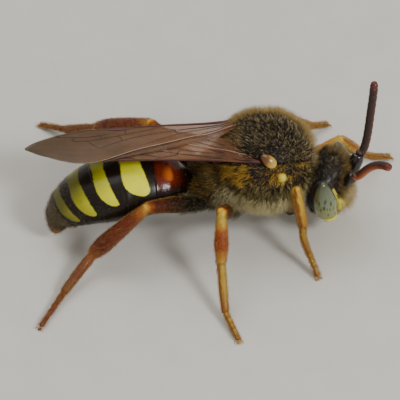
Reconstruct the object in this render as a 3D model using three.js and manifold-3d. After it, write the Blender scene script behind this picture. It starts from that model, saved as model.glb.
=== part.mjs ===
// A male painted nomad bee, life size, standing on its six feet with its wings folded over its back.
// Units are millimetres. +X runs from tail to head, +Y to the bee's left and +Z up; the floor is z = 0.
// Hairy surfaces are modelled out to the tips of their coat. Legs, feelers and wings are thicker than
// life, so that each can be made and handled, and they keep their true course, outline and length.
import * as THREE from "three";
import { mergeVertices } from "three/addons/utils/BufferGeometryUtils.js";
import Module from "manifold-3d";

const wasm = await Module();
wasm.setup();

// ---------------------------------------------------------------- driving dimensions
const GAP = 0.04; // clearance between neighbouring pieces
const LIMB = 0.25; // least radius of a leg or feeler
const PLATE = 0.46; // thickness of a wing
const SOLE = 0.2; // height of a foot's centre line over the floor
const FINE = 0.034; // details of a cut that are smaller than this are smoothed away

const THORAX = { at: [0.13, 0, 2.74], half: [1.76, 1.84, 1.84] };
const SCUTELLUM = { at: [-0.9, 0, 3.7], half: [0.5, 0.74, 0.5] };
const PROPODEUM = { at: [-1.0, 0, 2.16], half: [1.34, 1.24, 0.98] };
const WAIST_CUT = -0.98; // where the propodeum begins
const COLLAR = { at: [1.4, -0.05, 2.3], half: [0.5, 0.74, 0.66] };
const TEGULA = { at: [0.16, 1.14, 3.92], half: [0.27, 0.3, 0.22], lean: 47 };
const LOBE = { at: [0.62, 1.4, 3.34], half: [0.22, 0.22, 0.22] };

// The head is built about its own centre, then turned and placed.
const HEAD = { at: [2.34, -0.3, 1.93], yaw: -17, half: [0.76, 1.3, 1.14], chin: 0.2 };
const EYE = { at: [0.06, 1.0, 0.06], half: [0.42, 0.4, 0.9], lean: 7 };
const EYE_CROWN = 0.4; // how much narrower an eye is at its top
const CLYPEUS = { at: [0.42, 0, -0.5], half: [0.38, 0.6, 0.5] };
const CLYPEUS_DEPTH = 0.16; // how far the clypeus is let into the face
const MANDIBLE = [[0.12, 0.74, -0.9], [0.4, 0.58, -1.12], [0.58, 0.12, -1.14]];
const MANDIBLE_GIRTH = [[0, 0], [0.02, 0.14], [0.3, 0.2], [0.7, 0.16], [0.97, 0.1], [1, 0]];

const FEELERS = {
  left: [[3.03, -0.23, 2.2], [3.48, 0.08, 2.82], [3.62, 0.35, 3.6], [3.75, 0.65, 4.3], [3.85, 0.93, 4.92],
    [3.62, 1.02, 5.14]],
  right: [[2.87, -0.77, 2.2], [3.12, -0.98, 2.8], [3.6, -1.2, 3.35], [4.0, -1.48, 3.85], [4.22, -1.78, 4.1],
    [4.18, -2.05, 4.06]],
};
const SCAPE_GIRTH = [1, 1.08, 1]; // over LIMB
const RINGS = { count: 11, wide: 1.06, narrow: 0.96, lip: 0.02, tip: 0.8 }; // of the flagellum, over LIMB

// Wings fold in two layers. As they are thicker than life, the right pair goes on top, which keeps the
// outline true. Outlines run from the root to the tip, and inwards from the front edge.
const WING = { hinge: [-0.1, 1.05], crest: 3.78, droop: 0.0064, roof: 0.08, axis: 0.2 };
const WING_YAW = { left: -2, right: 4.7 };
const WING_FLOOR = { left: -GAP - PLATE, right: 0 };
const FRONT_EDGE = [[0, 0], [2.5, -0.03], [5, -0.02], [6.6, 0.1], [7.5, 0.4], [8.04, 0.76]];
const BACK_EDGE = [[0, 0.36], [2.2, 0.7], [3.9, 1.08], [5.3, 1.54], [6.5, 1.64], [7.84, 1.1]];
// The hindwing's share of the forewing's back edge, its greatest width, and the fullness of its own edge.
const HINDWING = { from: 0.08, to: 0.62, wide: 0.66, full: 0.7, starts: 0.12, ends: 0.94 };

// The abdomen's centre line, and its half width at each share of the length.
const ABDOMEN = [[-2.34, 0, 2.06], [-3.3, -0.06, 2.1], [-4.4, -0.16, 2.08], [-5.5, -0.3, 1.93],
  [-6.45, -0.43, 1.6], [-7.05, -0.58, 1.08], [-7.2, -0.74, 0.37]];
const GIRTH = [[0, 0], [0.012, 0.26], [0.05, 0.5], [0.1, 0.86], [0.17, 1.12], [0.26, 1.27], [0.36, 1.34],
  [0.48, 1.34], [0.6, 1.26], [0.71, 1.12], [0.81, 0.92], [0.89, 0.68], [0.95, 0.44], [1, 0]];
const FLATNESS = 0.76; // the abdomen's height over its width
const SEGMENT_ENDS = [0.275, 0.465, 0.63, 0.765, 0.87, 0.94]; // shares of the length
const SEGMENT_COLOURS = ["rust", "yellow", "yellow", "yellow", "yellow", "olive", "olive"];

// Each leg's joints: body, hip, knee, ankle, heel and tip.
const LEGS = {
  fore_right: [[0.8, -0.4, 1.6], [0.95, -0.8, 1.2], [1.1, -1.42, 3.0], [1.32, -1.95, 1.49],
    [1.49, -2.45, 0.8], [1.77, -3.03, SOLE]],
  mid_right: [[-0.8, -0.5, 1.6], [-1.25, -1.05, 1.3], [-1.52, -2.35, 2.81], [-1.6, -3.47, 1.3],
    [-1.53, -4.82, 0.4], [-1.15, -5.9, SOLE]],
  hind_right: [[-1.55, -0.45, 1.85], [-1.95, -0.85, 1.6], [-4.08, -1.85, 2.6], [-5.98, -2.2, 0.7],
    [-7.02, -3.48, 0.32], [-7.85, -4.9, SOLE]],
  fore_left: [[0.8, 0.4, 1.6], [1.0, 0.8, 1.3], [2.85, 1.7, 1.98], [3.45, 2.05, 1.05],
    [4.05, 2.4, 0.5], [4.58, 2.66, SOLE]],
  mid_left: [[-0.35, 0.5, 1.55], [-0.5, 0.95, 1.15], [0.5, 2.4, 2.5], [1.35, 3.5, 1.2],
    [1.95, 4.1, 0.42], [2.5, 4.4, SOLE]],
  hind_left: [[-1.55, 0.45, 1.75], [-1.95, 0.85, 1.2], [-3.75, 2.15, 2.74], [-5.58, 3.34, 1.35],
    [-6.6, 4.25, 0.55], [-7.4, 4.86, SOLE]],
};
// The parts of a leg: radius at the start, middle and end over LIMB, and colour.
const LEG_PARTS = [
  ["coxa", [1.5, 1.5, 1.0], "black"],
  ["femur", [1.0, 1.28, 1.0], "rust"],
  ["tibia", [1.0, 1.16, 1.12], "orange"],
  ["heel", [1.0, 1.0, 1.0], "amber"],
  ["foot", [1.0, 1.0, 0.96], "amber"],
];

const COLOURS = {
  coat: [0x4d3c20, 0.95],
  black: [0x17120f, 0.35],
  eye: [0x8a9c86, 0.2],
  yellow: [0xd8cc50, 0.35],
  orange: [0xa8501c, 0.4],
  rust: [0x7a2c10, 0.3],
  feeler: [0x4a2c20, 0.5],
  wing: [0x7c5f49, 0.4],
  amber: [0xc4862e, 0.4],
  olive: [0x8a6a24, 0.4],
};

const ROUND = 16; // sides of the large bodies
const SMOOTH = 14; // sides of the eyes and the scutellum
const PLAIN = 12; // sides of the small round parts
const SLIM = 8; // sides of the limbs
const RISE = 0.7; // rings from pole to pole, over the sides
const DOME = { at: 0.3, wide: 0.72 }; // the shoulder of a limb's rounded end, over its radius

// ---------------------------------------------------------------- making and cutting solids
const V = (x, y, z) => new THREE.Vector3(x, y, z);
const vector = (point) => V(...point);
const UP = V(0, 0, 1);
const radians = THREE.MathUtils.degToRad;
const bee = new THREE.Group();

function add(name, manifold, colour) {
  const mesh = manifold.simplify(FINE).getMesh();
  const geometry = new THREE.BufferGeometry();
  geometry.setAttribute("position", new THREE.BufferAttribute(new Float32Array(mesh.vertProperties), 3));
  geometry.setIndex(new THREE.BufferAttribute(new Uint32Array(mesh.triVerts), 1));
  geometry.computeVertexNormals();
  const [color, roughness] = COLOURS[colour];
  const finish = new THREE.MeshStandardMaterial({ color, roughness, metalness: 0 });
  const piece = new THREE.Mesh(geometry, finish);
  piece.name = name;
  bee.add(piece);
}

// A closed geometry as a solid that can be joined and cut.
function solid(geometry) {
  geometry.deleteAttribute("normal");
  geometry.deleteAttribute("uv");
  const merged = mergeVertices(geometry);
  return new wasm.Manifold(
    new wasm.Mesh({
      numProp: 3,
      vertProperties: merged.attributes.position.array,
      triVerts: new Uint32Array(merged.index.array),
    }),
  );
}

// Moves each point of a geometry to where place(x, y, z) says.
function warp(geometry, place) {
  const points = geometry.getAttribute("position");
  for (let i = 0; i < points.count; i++) {
    points.setXYZ(i, ...place(points.getX(i), points.getY(i), points.getZ(i)));
  }
  return geometry;
}

// An ellipsoid with its half lengths along X, Y and Z, leaning about X by an angle in degrees.
function ellipsoid({ at, half, lean = 0 }, swell = 0, sides = PLAIN, bend = (...point) => point) {
  const ball = new THREE.SphereGeometry(1, sides, Math.round(sides * RISE));
  ball.rotateX(Math.PI / 2).scale(...half.map((length) => length + swell));
  return solid(warp(ball, bend).rotateX(radians(lean)).translate(...at));
}

// The same feature on the bee's other side: left is +Y and right is -Y.
const SIDES = { left: 1, right: -1 };
const onSide = (feature, side) => ({
  ...feature,
  at: [feature.at[0], feature.at[1] * SIDES[side], feature.at[2]],
  lean: -(feature.lean ?? 0) * SIDES[side],
});

// A round body along a curve. Its profile is [share of the length, radius] from pole to pole.
function spindle(curve, profile, { sides = SLIM, flatness = 1, swell = 0 } = {}) {
  const outline = profile.map(([share, radius]) => new THREE.Vector2(radius && radius + swell, share));
  const lathe = new THREE.LatheGeometry(outline, sides);
  return solid(
    warp(lathe, (x, share, z) => {
      const along = curve.getTangentAt(share);
      const side = V(0, 0, 0).crossVectors(UP, along).normalize();
      const top = V(0, 0, 0).crossVectors(along, side);
      return curve.getPointAt(share).addScaledVector(side, -x).addScaledVector(top, z * flatness);
    }),
  );
}

// What is left of a solid ahead of a plane, short of it by half a gap.
function ahead(manifold, point, direction) {
  const normal = direction.clone().normalize();
  return manifold.trimByPlane(normal.toArray(), normal.dot(point) + GAP / 2);
}
const behind = (manifold, point, direction) => ahead(manifold, point, direction.clone().negate());

// A chain of round pieces between joints, cut where they meet on the plane that halves each bend.
function chain(joints, girths, swell = 0) {
  const points = joints.map(vector);
  const courses = girths.map((_, i) => points[i + 1].clone().sub(points[i]).normalize());
  return girths.map((girth, i) => {
    const [start, middle, end] = girth.map((share) => share * LIMB);
    const from = points[i].clone().addScaledVector(courses[i], -start);
    const to = points[i + 1].clone().addScaledVector(courses[i], end);
    const length = from.distanceTo(to);
    const foot = [[0, 0], [(start * DOME.at) / length, start * DOME.wide], [start / length, start]];
    const head = [[1 - end / length, end], [1 - (end * DOME.at) / length, end * DOME.wide], [1, 0]];
    const profile = [...foot, [0.5, middle], ...head];
    const piece = spindle(new THREE.LineCurve3(from, to), profile, { swell });
    if (swell) return piece;
    const bend = (k) => courses[k].clone().add(courses[k + 1]);
    const begun = i ? ahead(piece, points[i], bend(i - 1)) : piece;
    return i < girths.length - 1 ? behind(begun, points[i + 1], bend(i)) : begun;
  });
}

// ---------------------------------------------------------------- wings
const frontEdge = new THREE.SplineCurve(FRONT_EDGE.map((p) => new THREE.Vector2(...p)));
const backEdge = new THREE.SplineCurve(BACK_EDGE.map((p) => new THREE.Vector2(...p)));

// A curved plate between two edges, given in the wing's own plane at each share of its length.
const LENGTHS = 13;
const BREADTHS = 3;

function wingPlate(side, front, back, swell = 0) {
  const plate = new THREE.BoxGeometry(1, 1, 1, LENGTHS, BREADTHS, 1);
  const yaw = radians(WING_YAW[side]);
  const hand = SIDES[side];
  return solid(
    warp(plate, (x, y, z) => {
      const flat = front(x + 0.5).lerp(back(x + 0.5), y + 0.5);
      flat.y += 2 * swell * y;
      const worldX = WING.hinge[0] - flat.x * Math.cos(yaw) + flat.y * Math.sin(yaw);
      const inwards = flat.x * Math.sin(yaw) + flat.y * Math.cos(yaw);
      const worldY = hand * (WING.hinge[1] - inwards);
      const rise = WING.crest - WING.droop * worldX ** 2 - WING.roof * (worldY - WING.axis) ** 2;
      const level = (z * hand + 0.5) * PLATE + 2 * swell * z * hand;
      return [worldX, worldY, rise + WING_FLOOR[side] + level];
    }),
  );
}

const forewing = (side, swell) => {
  const front = (share) => frontEdge.getPoint(share);
  const back = (share) => backEdge.getPoint(share);
  return wingPlate(side, front, back, swell);
};

// The hindwing shows behind the forewing's back edge, which it hooks onto.
const hindwing = (side, swell) => {
  const front = (share) => {
    const hooked = backEdge.getPoint(HINDWING.from + (HINDWING.to - HINDWING.from) * share);
    return hooked.add(new THREE.Vector2(0, GAP));
  };
  const back = (share) => {
    const turn = Math.PI * (HINDWING.starts + (HINDWING.ends - HINDWING.starts) * share);
    const width = HINDWING.wide * Math.sin(turn) ** HINDWING.full;
    return front(share).add(new THREE.Vector2(0, width));
  };
  return wingPlate(side, front, back, swell);
};

// ---------------------------------------------------------------- head
const headTurn = new THREE.Matrix4()
  .makeTranslation(...HEAD.at)
  .multiply(new THREE.Matrix4().makeRotationZ(radians(HEAD.yaw)));
const onHead = (manifold) => manifold.transform(headTurn.elements);

// The head narrows towards the chin.
function skull(swell) {
  const ball = new THREE.SphereGeometry(1, ROUND, Math.round(ROUND * RISE));
  ball.rotateX(Math.PI / 2).scale(...HEAD.half.map((length) => length + swell));
  return solid(
    warp(ball, (x, y, z) => {
      const narrowed = 1 - HEAD.chin * Math.max(0, -z / HEAD.half[2]) ** 2;
      return [x, y * narrowed, z];
    }),
  );
}
const headShell = (swell) => onHead(skull(swell).add(ellipsoid(CLYPEUS, swell)));

function mandible(side, swell) {
  const curve = new THREE.CatmullRomCurve3(MANDIBLE.map(([x, y, z]) => V(x, y * SIDES[side], z)));
  return onHead(spindle(curve, MANDIBLE_GIRTH, { swell }));
}

// ---------------------------------------------------------------- feelers
// The flagellum is a row of short rings, each a little wider at its far end.
function feeler(side) {
  const [socket, elbow, ...rest] = FEELERS[side].map(vector);
  const scape = chain(FEELERS[side].slice(0, 2), [SCAPE_GIRTH])[0];
  const curve = new THREE.CatmullRomCurve3([elbow, ...rest]);
  const tip = LIMB * RINGS.tip;
  const profile = [[0, 0], [RINGS.lip / 2, tip]];
  for (let ring = 1; ring < RINGS.count; ring++) {
    const end = ring / RINGS.count;
    profile.push([end - RINGS.lip, LIMB * RINGS.wide], [end, LIMB * RINGS.narrow]);
  }
  profile.push([1 - RINGS.lip, tip], [1, 0]);
  const bend = elbow.clone().sub(socket).normalize().add(curve.getTangentAt(0));
  return {
    scape: behind(scape, elbow, bend),
    flagellum: ahead(spindle(curve, profile), elbow, bend),
  };
}

// ---------------------------------------------------------------- what stands in the coat
const HANDS = Object.keys(SIDES);
const clear = (manifold, others) => others.reduce((left, other) => left.subtract(other), manifold);

for (const side of HANDS) {
  add(`forewing_${side}`, forewing(side, 0), "wing");
  add(`hindwing_${side}`, hindwing(side, 0), "wing");
  add(`tegula_${side}`, ellipsoid(onSide(TEGULA, side)), "amber");
  add(`pronotal_lobe_${side}`, ellipsoid(onSide(LOBE, side)), "yellow");
}

// The sole of each foot is flat on the floor.
const GIRTHS = LEG_PARTS.map((part) => part[1]);
for (const [leg, joints] of Object.entries(LEGS)) {
  chain(joints, GIRTHS).forEach((piece, i) => {
    const [part, , colour] = LEG_PARTS[i];
    add(`${part}_${leg}`, piece.trimByPlane([0, 0, 1], 0), colour);
  });
}

// ---------------------------------------------------------------- thorax
// All that grows from the thorax, or lies in its coat, grown by the gap that it needs there.
const rooted = [
  ...HANDS.flatMap((side) => [
    forewing(side, GAP),
    hindwing(side, GAP),
    ellipsoid(onSide(TEGULA, side), GAP),
    ellipsoid(onSide(LOBE, side), GAP),
  ]),
  ...Object.values(LEGS).flatMap((joints) => chain(joints, GIRTHS, GAP).slice(0, 2)),
  headShell(GAP),
];
const scutellum = ellipsoid(SCUTELLUM, 0, SMOOTH);
const rear = [V(WAIST_CUT, 0, 0), V(-1, 0, 0)];
const topPlate = ellipsoid(SCUTELLUM, GAP, SMOOTH);
const trunk = clear(ellipsoid(THORAX, 0, ROUND), [...rooted, topPlate, ellipsoid(COLLAR, GAP)]);
add("thorax", behind(trunk, ...rear), "coat");
add("scutellum", clear(scutellum, rooted), "rust");
const slope = clear(ellipsoid(PROPODEUM, 0, ROUND), [...rooted, topPlate]);
add("propodeum", ahead(slope, ...rear), "coat");
add("collar", clear(ellipsoid(COLLAR), rooted), "black");

// ---------------------------------------------------------------- head
const crown = (x, y, z) => {
  const narrowed = 1 - EYE_CROWN * Math.max(0, z / EYE.half[2]);
  return [x * narrowed, y, z];
};
const ball = (side, swell) => onHead(ellipsoid(onSide(EYE, side), swell, SMOOTH, crown));
const eyes = HANDS.map((side) => [`eye_${side}`, (swell) => ball(side, swell)]);
const jaws = HANDS.map((side) => [`mandible_${side}`, (swell) => mandible(side, swell)]);
const feelers = HANDS.map((side) => [side, feeler(side)]);
const face = (swell) => onHead(ellipsoid(CLYPEUS, swell));
for (const [name, make] of eyes) add(name, make(0), "eye");
for (const [name, make] of jaws) add(name, clear(make(0), [face(GAP)]), "yellow");
for (const [side, { scape, flagellum }] of feelers) {
  add(`scape_${side}`, scape, "black");
  add(`flagellum_${side}`, flagellum, "feeler");
}
const onFace = [...eyes, ...jaws].map(([, make]) => make(GAP));
const sockets = HANDS.map((side) => chain(FEELERS[side].slice(0, 2), [SCAPE_GIRTH], GAP)[0]);
const mask = clear(face(0), [onHead(skull(GAP - CLYPEUS_DEPTH)), ...onFace]);
add("clypeus", mask, "yellow");
const bed = face(GAP).subtract(onHead(skull(-CLYPEUS_DEPTH)));
add("head", clear(onHead(skull(0)), [bed, ...onFace, ...sockets]), "black");

// ---------------------------------------------------------------- abdomen
const spine = new THREE.CatmullRomCurve3(ABDOMEN.map(vector));
const cuts = SEGMENT_ENDS.map((share) => [spine.getPointAt(share), spine.getTangentAt(share)]);
const belly = spindle(spine, GIRTH, { sides: ROUND, flatness: FLATNESS });
for (let i = 0; i <= cuts.length; i++) {
  const begun = i ? ahead(belly, ...cuts[i - 1]) : clear(belly, [ellipsoid(PROPODEUM, GAP, ROUND)]);
  const ring = i < cuts.length ? behind(begun, ...cuts[i]) : begun;
  add(`abdomen_${i + 1}`, ring, SEGMENT_COLOURS[i]);
}

// The origin is on the floor, under the middle of the bee's outline.
const box = new THREE.Box3().setFromObject(bee);
const middle = box.getCenter(V(0, 0, 0));
bee.position.set(-middle.x, -middle.y, -box.min.z);

export default bee;
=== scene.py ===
"""A male painted nomad bee, life size: a still museum model standing on a pale table in soft light."""
import functools
import heapq
import math
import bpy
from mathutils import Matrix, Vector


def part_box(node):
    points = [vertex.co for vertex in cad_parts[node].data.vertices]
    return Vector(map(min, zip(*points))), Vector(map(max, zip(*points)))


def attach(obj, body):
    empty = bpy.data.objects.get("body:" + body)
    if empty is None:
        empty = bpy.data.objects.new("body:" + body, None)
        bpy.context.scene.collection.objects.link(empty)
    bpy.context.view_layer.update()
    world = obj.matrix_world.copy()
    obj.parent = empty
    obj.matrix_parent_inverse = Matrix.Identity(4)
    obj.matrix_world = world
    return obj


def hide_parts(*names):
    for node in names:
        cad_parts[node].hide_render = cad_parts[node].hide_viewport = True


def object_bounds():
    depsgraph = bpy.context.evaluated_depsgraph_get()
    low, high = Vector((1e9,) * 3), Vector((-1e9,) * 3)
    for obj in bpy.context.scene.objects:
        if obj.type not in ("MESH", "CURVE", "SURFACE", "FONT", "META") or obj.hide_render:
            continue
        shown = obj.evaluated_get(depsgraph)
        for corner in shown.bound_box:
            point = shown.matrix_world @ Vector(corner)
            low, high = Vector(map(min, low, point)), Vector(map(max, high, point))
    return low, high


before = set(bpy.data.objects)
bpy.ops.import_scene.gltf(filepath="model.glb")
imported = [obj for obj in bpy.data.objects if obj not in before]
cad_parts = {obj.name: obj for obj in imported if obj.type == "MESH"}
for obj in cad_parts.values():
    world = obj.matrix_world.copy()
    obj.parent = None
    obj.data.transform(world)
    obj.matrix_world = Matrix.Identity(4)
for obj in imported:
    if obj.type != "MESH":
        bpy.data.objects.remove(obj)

import types

import bmesh
import bpy
import numpy as np
from mathutils import Matrix, Vector, noise

cad_low, cad_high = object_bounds()

# ---------------------------------------------------------------- studio
# A plain pale table top, a small soft key lamp ahead on the right, a large soft lamp overhead,
# and a long lens that looks down at forty-five degrees on the bee's right side.
MM = 0.001
VIEW_TURN, VIEW_HEIGHT = math.radians(-3), math.radians(45)
VIEW_WIDTH, VIEW_FROM, SENSOR = 13.793 * MM, 400 * MM, 36
VIEW_AIM = Vector((-0.556, -1.121, 0)) * MM  # from the middle of the model's box
TABLE_SIZE = 250 * MM


def colour(code):
    """An sRGB hex colour as linear red, green, blue and alpha."""
    parts = [int(code[i : i + 2], 16) / 255 for i in (1, 3, 5)]
    return [c / 12.92 if c <= 0.04045 else ((c + 0.055) / 1.055) ** 2.4 for c in parts] + [1]


def fill(node, *inputs, **values):
    """Fills a node's first sockets in order, then its named properties and sockets. A node or socket among
    the values is joined on, and a hex colour is turned to linear."""
    for key, value in [*enumerate(inputs), *values.items()]:
        if isinstance(key, str) and hasattr(node, key):
            setattr(node, key, value)
            continue
        socket = node.inputs[key.replace("_", " ") if isinstance(key, str) else key]
        if isinstance(value, bpy.types.Node):
            value = value.outputs[0]
        if isinstance(value, bpy.types.NodeSocket):
            node.id_data.links.new(value, socket)
        else:
            socket.default_value = colour(value) if isinstance(value, str) else value
    return node


def add(material, kind, *inputs, stops=(), **values):
    """One new node with its settings, its links and the stops of its colour ramp."""
    node = material.node_tree.nodes.new("ShaderNode" + kind)
    for _ in stops[2:]:
        node.color_ramp.elements.new(1)
    for point, (at, code) in zip(node.color_ramp.elements if stops else (), stops):
        point.position, point.color = at, colour(code)
    return fill(node, *inputs, **values)


def finish(name, **sockets):
    """A material with a Principled shader, its sockets set, and the shader itself."""
    material = bpy.data.materials.new(name)
    material.use_nodes = True
    return material, fill(material.node_tree.nodes["Principled BSDF"], **sockets)


def clouded(name, dark, pale, scale, relief=None, **sockets):
    """A finish that drifts between two colours, with bumps of a strength and depth if it has relief."""
    material, shader = finish(name, **sockets)
    cloud = add(material, "TexNoise", add(material, "TexCoord").outputs["Object"], Scale=scale, Detail=3)
    fill(shader, Base_Color=add(material, "MixRGB", cloud, dark, pale))
    if relief:
        strength, depth = relief
        fill(shader, Normal=add(material, "Bump", Strength=strength, Distance=depth * MM, Height=cloud))
    return material


def placed(name, data):
    """A new object in the scene."""
    made = bpy.data.objects.new(name, data)
    bpy.context.scene.collection.objects.link(made)
    return made


# The table top is a sprayed satin board: nearly white, with the faint mottle of the spray.
board = bmesh.new()
bmesh.ops.create_grid(board, x_segments=2, y_segments=2, size=TABLE_SIZE)
bmesh.ops.translate(board, vec=(0, 0, cad_low.z), verts=board.verts)
table = placed("table_top", bpy.data.meshes.new("table_top"))
board.to_mesh(table.data)
board.free()
table.data.materials.append(clouded("sprayed_satin_board", "#c9c6be", "#d3d0c9", 700, Roughness=0.62))


def lamp(name, power, size, place):
    """A square soft lamp, in watts and millimetres, aimed at the middle of the bee."""
    holder = placed(name, bpy.data.lights.new(name, "AREA"))
    holder.data.energy, holder.data.size = power, size * MM
    holder.location = Vector(place) * MM
    holder.rotation_euler = (-holder.location).to_track_quat("-Z", "Y").to_euler()


lamp("key_softbox", 0.13, 34, (75, -70, 95))
lamp("overhead_softbox", 0.05, 80, (-30, 40, 110))
world = bpy.data.worlds.new("studio_walls")
world.use_nodes = True
fill(world.node_tree.nodes["Background"], Color="#f1ede6", Strength=0.6)
bpy.context.scene.world = world

camera = placed("camera", bpy.data.cameras.new("camera"))
level = math.cos(VIEW_HEIGHT)
backwards = Vector((math.sin(VIEW_TURN) * level, -math.cos(VIEW_TURN) * level, math.sin(VIEW_HEIGHT)))
camera.location = (cad_low + cad_high) / 2 + VIEW_AIM + backwards * VIEW_FROM
camera.rotation_euler = (-backwards).to_track_quat("-Z", "Y").to_euler()
camera.data.sensor_width = SENSOR
camera.data.lens = SENSOR * VIEW_FROM / VIEW_WIDTH
camera.data.clip_start, camera.data.clip_end = 0.01, 10
bpy.context.scene.camera = camera

# ---------------------------------------------------------------- thorax
# The middle body is one hard black shell: a high domed back, full flanks, a sloping rear face and a low
# collar that holds the neck. It is pitted like a thimble, and its seams are narrow grooves.
COAT_DEPTH = 0.26  # room left for the hair between the shell and the outside of the solids
SHELL_GRAIN = 0.06  # size of the remeshed faces
GROOVES = {"rim": 0.07, "seam": 0.05, "midline": 0.03}  # how deep each is cut
DENTS, DENT_PITCH = 0.012, 5  # soft unevenness of the shells: its depth, and how many to the millimetre
SIDES = (("left", 1), ("right", -1))


def corners(*names):
    """The corners of solid parts, in millimetres."""
    return np.array([v.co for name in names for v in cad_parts[name].data.vertices]) / MM


def middle(name):
    low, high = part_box(name)
    return (low + high) / 2 / MM


def half(name):
    low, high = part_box(name)
    return (high - low) / 2 / MM


def ball(bm, at, size, sides=48):
    """An egg of three half lengths about a point."""
    made = bmesh.ops.create_uvsphere(bm, u_segments=sides, v_segments=sides // 2, radius=1)["verts"]
    bmesh.ops.scale(bm, vec=size, verts=made)
    bmesh.ops.translate(bm, vec=at, verts=made)
    return made


def fused(bm, grain, smoothing):
    """The same shapes as one skin of even faces with no seam."""
    mesh = bpy.data.meshes.new("fusing")
    bm.to_mesh(mesh)
    bm.free()
    holder = placed("fusing", mesh)
    remesh = holder.modifiers.new("fusing", "REMESH")
    remesh.mode, remesh.voxel_size, remesh.adaptivity = "VOXEL", grain, 0
    bpy.context.view_layer.update()
    one = bmesh.new()
    one.from_object(holder, bpy.context.evaluated_depsgraph_get())
    bpy.data.objects.remove(holder)
    for _ in range(smoothing):
        bmesh.ops.smooth_vert(
            one, verts=one.verts, factor=0.5, use_axis_x=True, use_axis_y=True, use_axis_z=True
        )
    return one


def piece(name, bm, nodes, slot, *materials):
    """A bmesh in millimetres as a piece of the bee that stands for solid parts."""
    bmesh.ops.scale(bm, vec=(MM, MM, MM), verts=bm.verts)
    made = placed(name, bpy.data.meshes.new(name))
    bm.to_mesh(made.data)
    bm.free()
    made.data.shade_smooth()
    for material in materials:
        made.data.materials.append(material)
    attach(made, "root")
    if nodes:
        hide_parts(*nodes)
    return made


def mark(made, name, values):
    """Stores a number at each corner of a piece, given or worked out from its place in millimetres."""
    if callable(values):
        values = [values(v.co / MM) for v in made.data.vertices]
    made.data.attributes.new(name, "FLOAT", "POINT").data.foreach_set("value", np.array(values, np.float32))


def bell(distance, width):
    """1 at no distance, falling away smoothly over the width."""
    return math.exp(-((distance / width) ** 2))


def cuticle(name, dark, pale, spacing, depth, **sockets):
    """Hard cuticle, drifting between two colours, with pits of a real spacing and depth over soft
    unevenness. Its shader, the drift and the mixed colour come too, for what is painted over them."""
    material, shader = finish(name, **sockets)
    place = add(material, "TexCoord").outputs["Object"]
    pits = add(material, "TexVoronoi", place, Scale=1 / (spacing * MM), Randomness=0.8)
    rim = add(material, "Math", pits, 0.5, operation="MINIMUM")
    swell = add(material, "TexNoise", place, Scale=1 / (0.3 * MM), Detail=4)
    height = add(material, "Math", rim, swell, operation="ADD")
    ground = add(material, "MixRGB", swell, dark, pale)
    bump = add(material, "Bump", Strength=0.9, Distance=depth * MM, Height=height)
    fill(shader, Base_Color=ground, Normal=bump)
    return material, shader, swell, ground


# Black sclerotised cuticle, moulted soft and hardened in air: a low oily sheen between the pits.
black = cuticle(
    "black_pitted_cuticle", "#0f0b09", "#2b1d14", 0.07, 0.02, Roughness=0.5, Specular_IOR_Level=0.3
)[0]

dome = half("thorax").y - COAT_DEPTH
thorax_middle = middle("thorax")
thorax_middle.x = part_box("thorax")[1].x / MM - half("thorax").y * 0.957  # the front of the back is cut short
rear_low, rear_high = [Vector(corner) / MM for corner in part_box("propodeum")]
rear_middle, rear_half = Vector((rear_high.x, thorax_middle.y, middle("propodeum").z)), half("propodeum")
shell = bmesh.new()
ball(shell, thorax_middle, (dome, dome, dome * 1.01))
ball(shell, thorax_middle + Vector((0.1, 0, 0.3)), (dome * 0.8, dome * 0.84, dome * 0.76))  # the high back
ball(shell, rear_middle, (rear_high.x - rear_low.x - 0.1, rear_half.y - 0.14, rear_half.z - 0.1))
for side, hand in reversed(SIDES):  # the hollows of the rear face lie between two pairs of bulges
    ball(shell, rear_middle + Vector((-0.8, 0.46 * hand, -0.3)), (0.6, 0.46, 0.56))
    ball(shell, rear_middle + Vector((-1.1, 0.4 * hand, -0.35)), (0.45, 0.36, 0.46))
ball(shell, middle("collar"), half("collar") - Vector((0.02, 0.1, 0.1)))
ball(shell, middle("collar").lerp(middle("head"), 0.45), (0.5, 0.3, 0.3))  # the neck
shell = fused(shell, SHELL_GRAIN, 6)
for v in shell.verts:
    out = v.co - thorax_middle
    lean = math.degrees(math.atan2(abs(out.y), out.z))
    rim = bell(lean - 52, 3.0) * (-0.5 < out.x < 1.2)  # along each side of the back
    seam = bell(out.x - 0.45 + 0.004 * (lean - 90), 0.06) * (62 < lean < 128)  # down each flank
    midline = bell(out.y, 0.04) * (out.x > 0.1) * (lean < 60)  # along the front half of the back
    v.co -= out.normalized() * (GROOVES["rim"] * rim + GROOVES["seam"] * seam + GROOVES["midline"] * midline)
    v.co += out.normalized() * DENTS * noise.noise(v.co * DENT_PITCH)
thorax_skin = piece("thorax_shell", shell, ["thorax", "propodeum", "collar"], "black_cuticle", black)

# ---------------------------------------------------------------- back plate and wing covers
# The scutellum is a low double boss behind the back. The tegulae are thin shell caps over the wing roots,
# and the pronotal lobes are small yellow knobs that cover the first breathing holes.
TEGULA_HALF, TEGULA_TURN, TEGULA_TILT = (0.32, 0.2, 0.17), math.radians(42), math.radians(-47)
rust = cuticle("rust_red_cuticle", "#3a1508", "#7c3212", 0.08, 0.012, Roughness=0.34)[0]
boss = bmesh.new()
boss_half = half("scutellum") - Vector((0.24, 0.2, 0.22))
boss_middle = middle("scutellum") + Vector((0.2, 0, 0))
for side, hand in reversed(SIDES):
    ball(boss, boss_middle + Vector((0, hand * 0.3, 0)), (boss_half.x, boss_half.y * 0.6, boss_half.z))
ball(boss, boss_middle - Vector((0, 0, 0.1)), boss_half * 0.94)
back_plate = piece("scutellum_plate", fused(boss, 0.05, 2), ["scutellum"], "rust_cuticle", rust)

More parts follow.
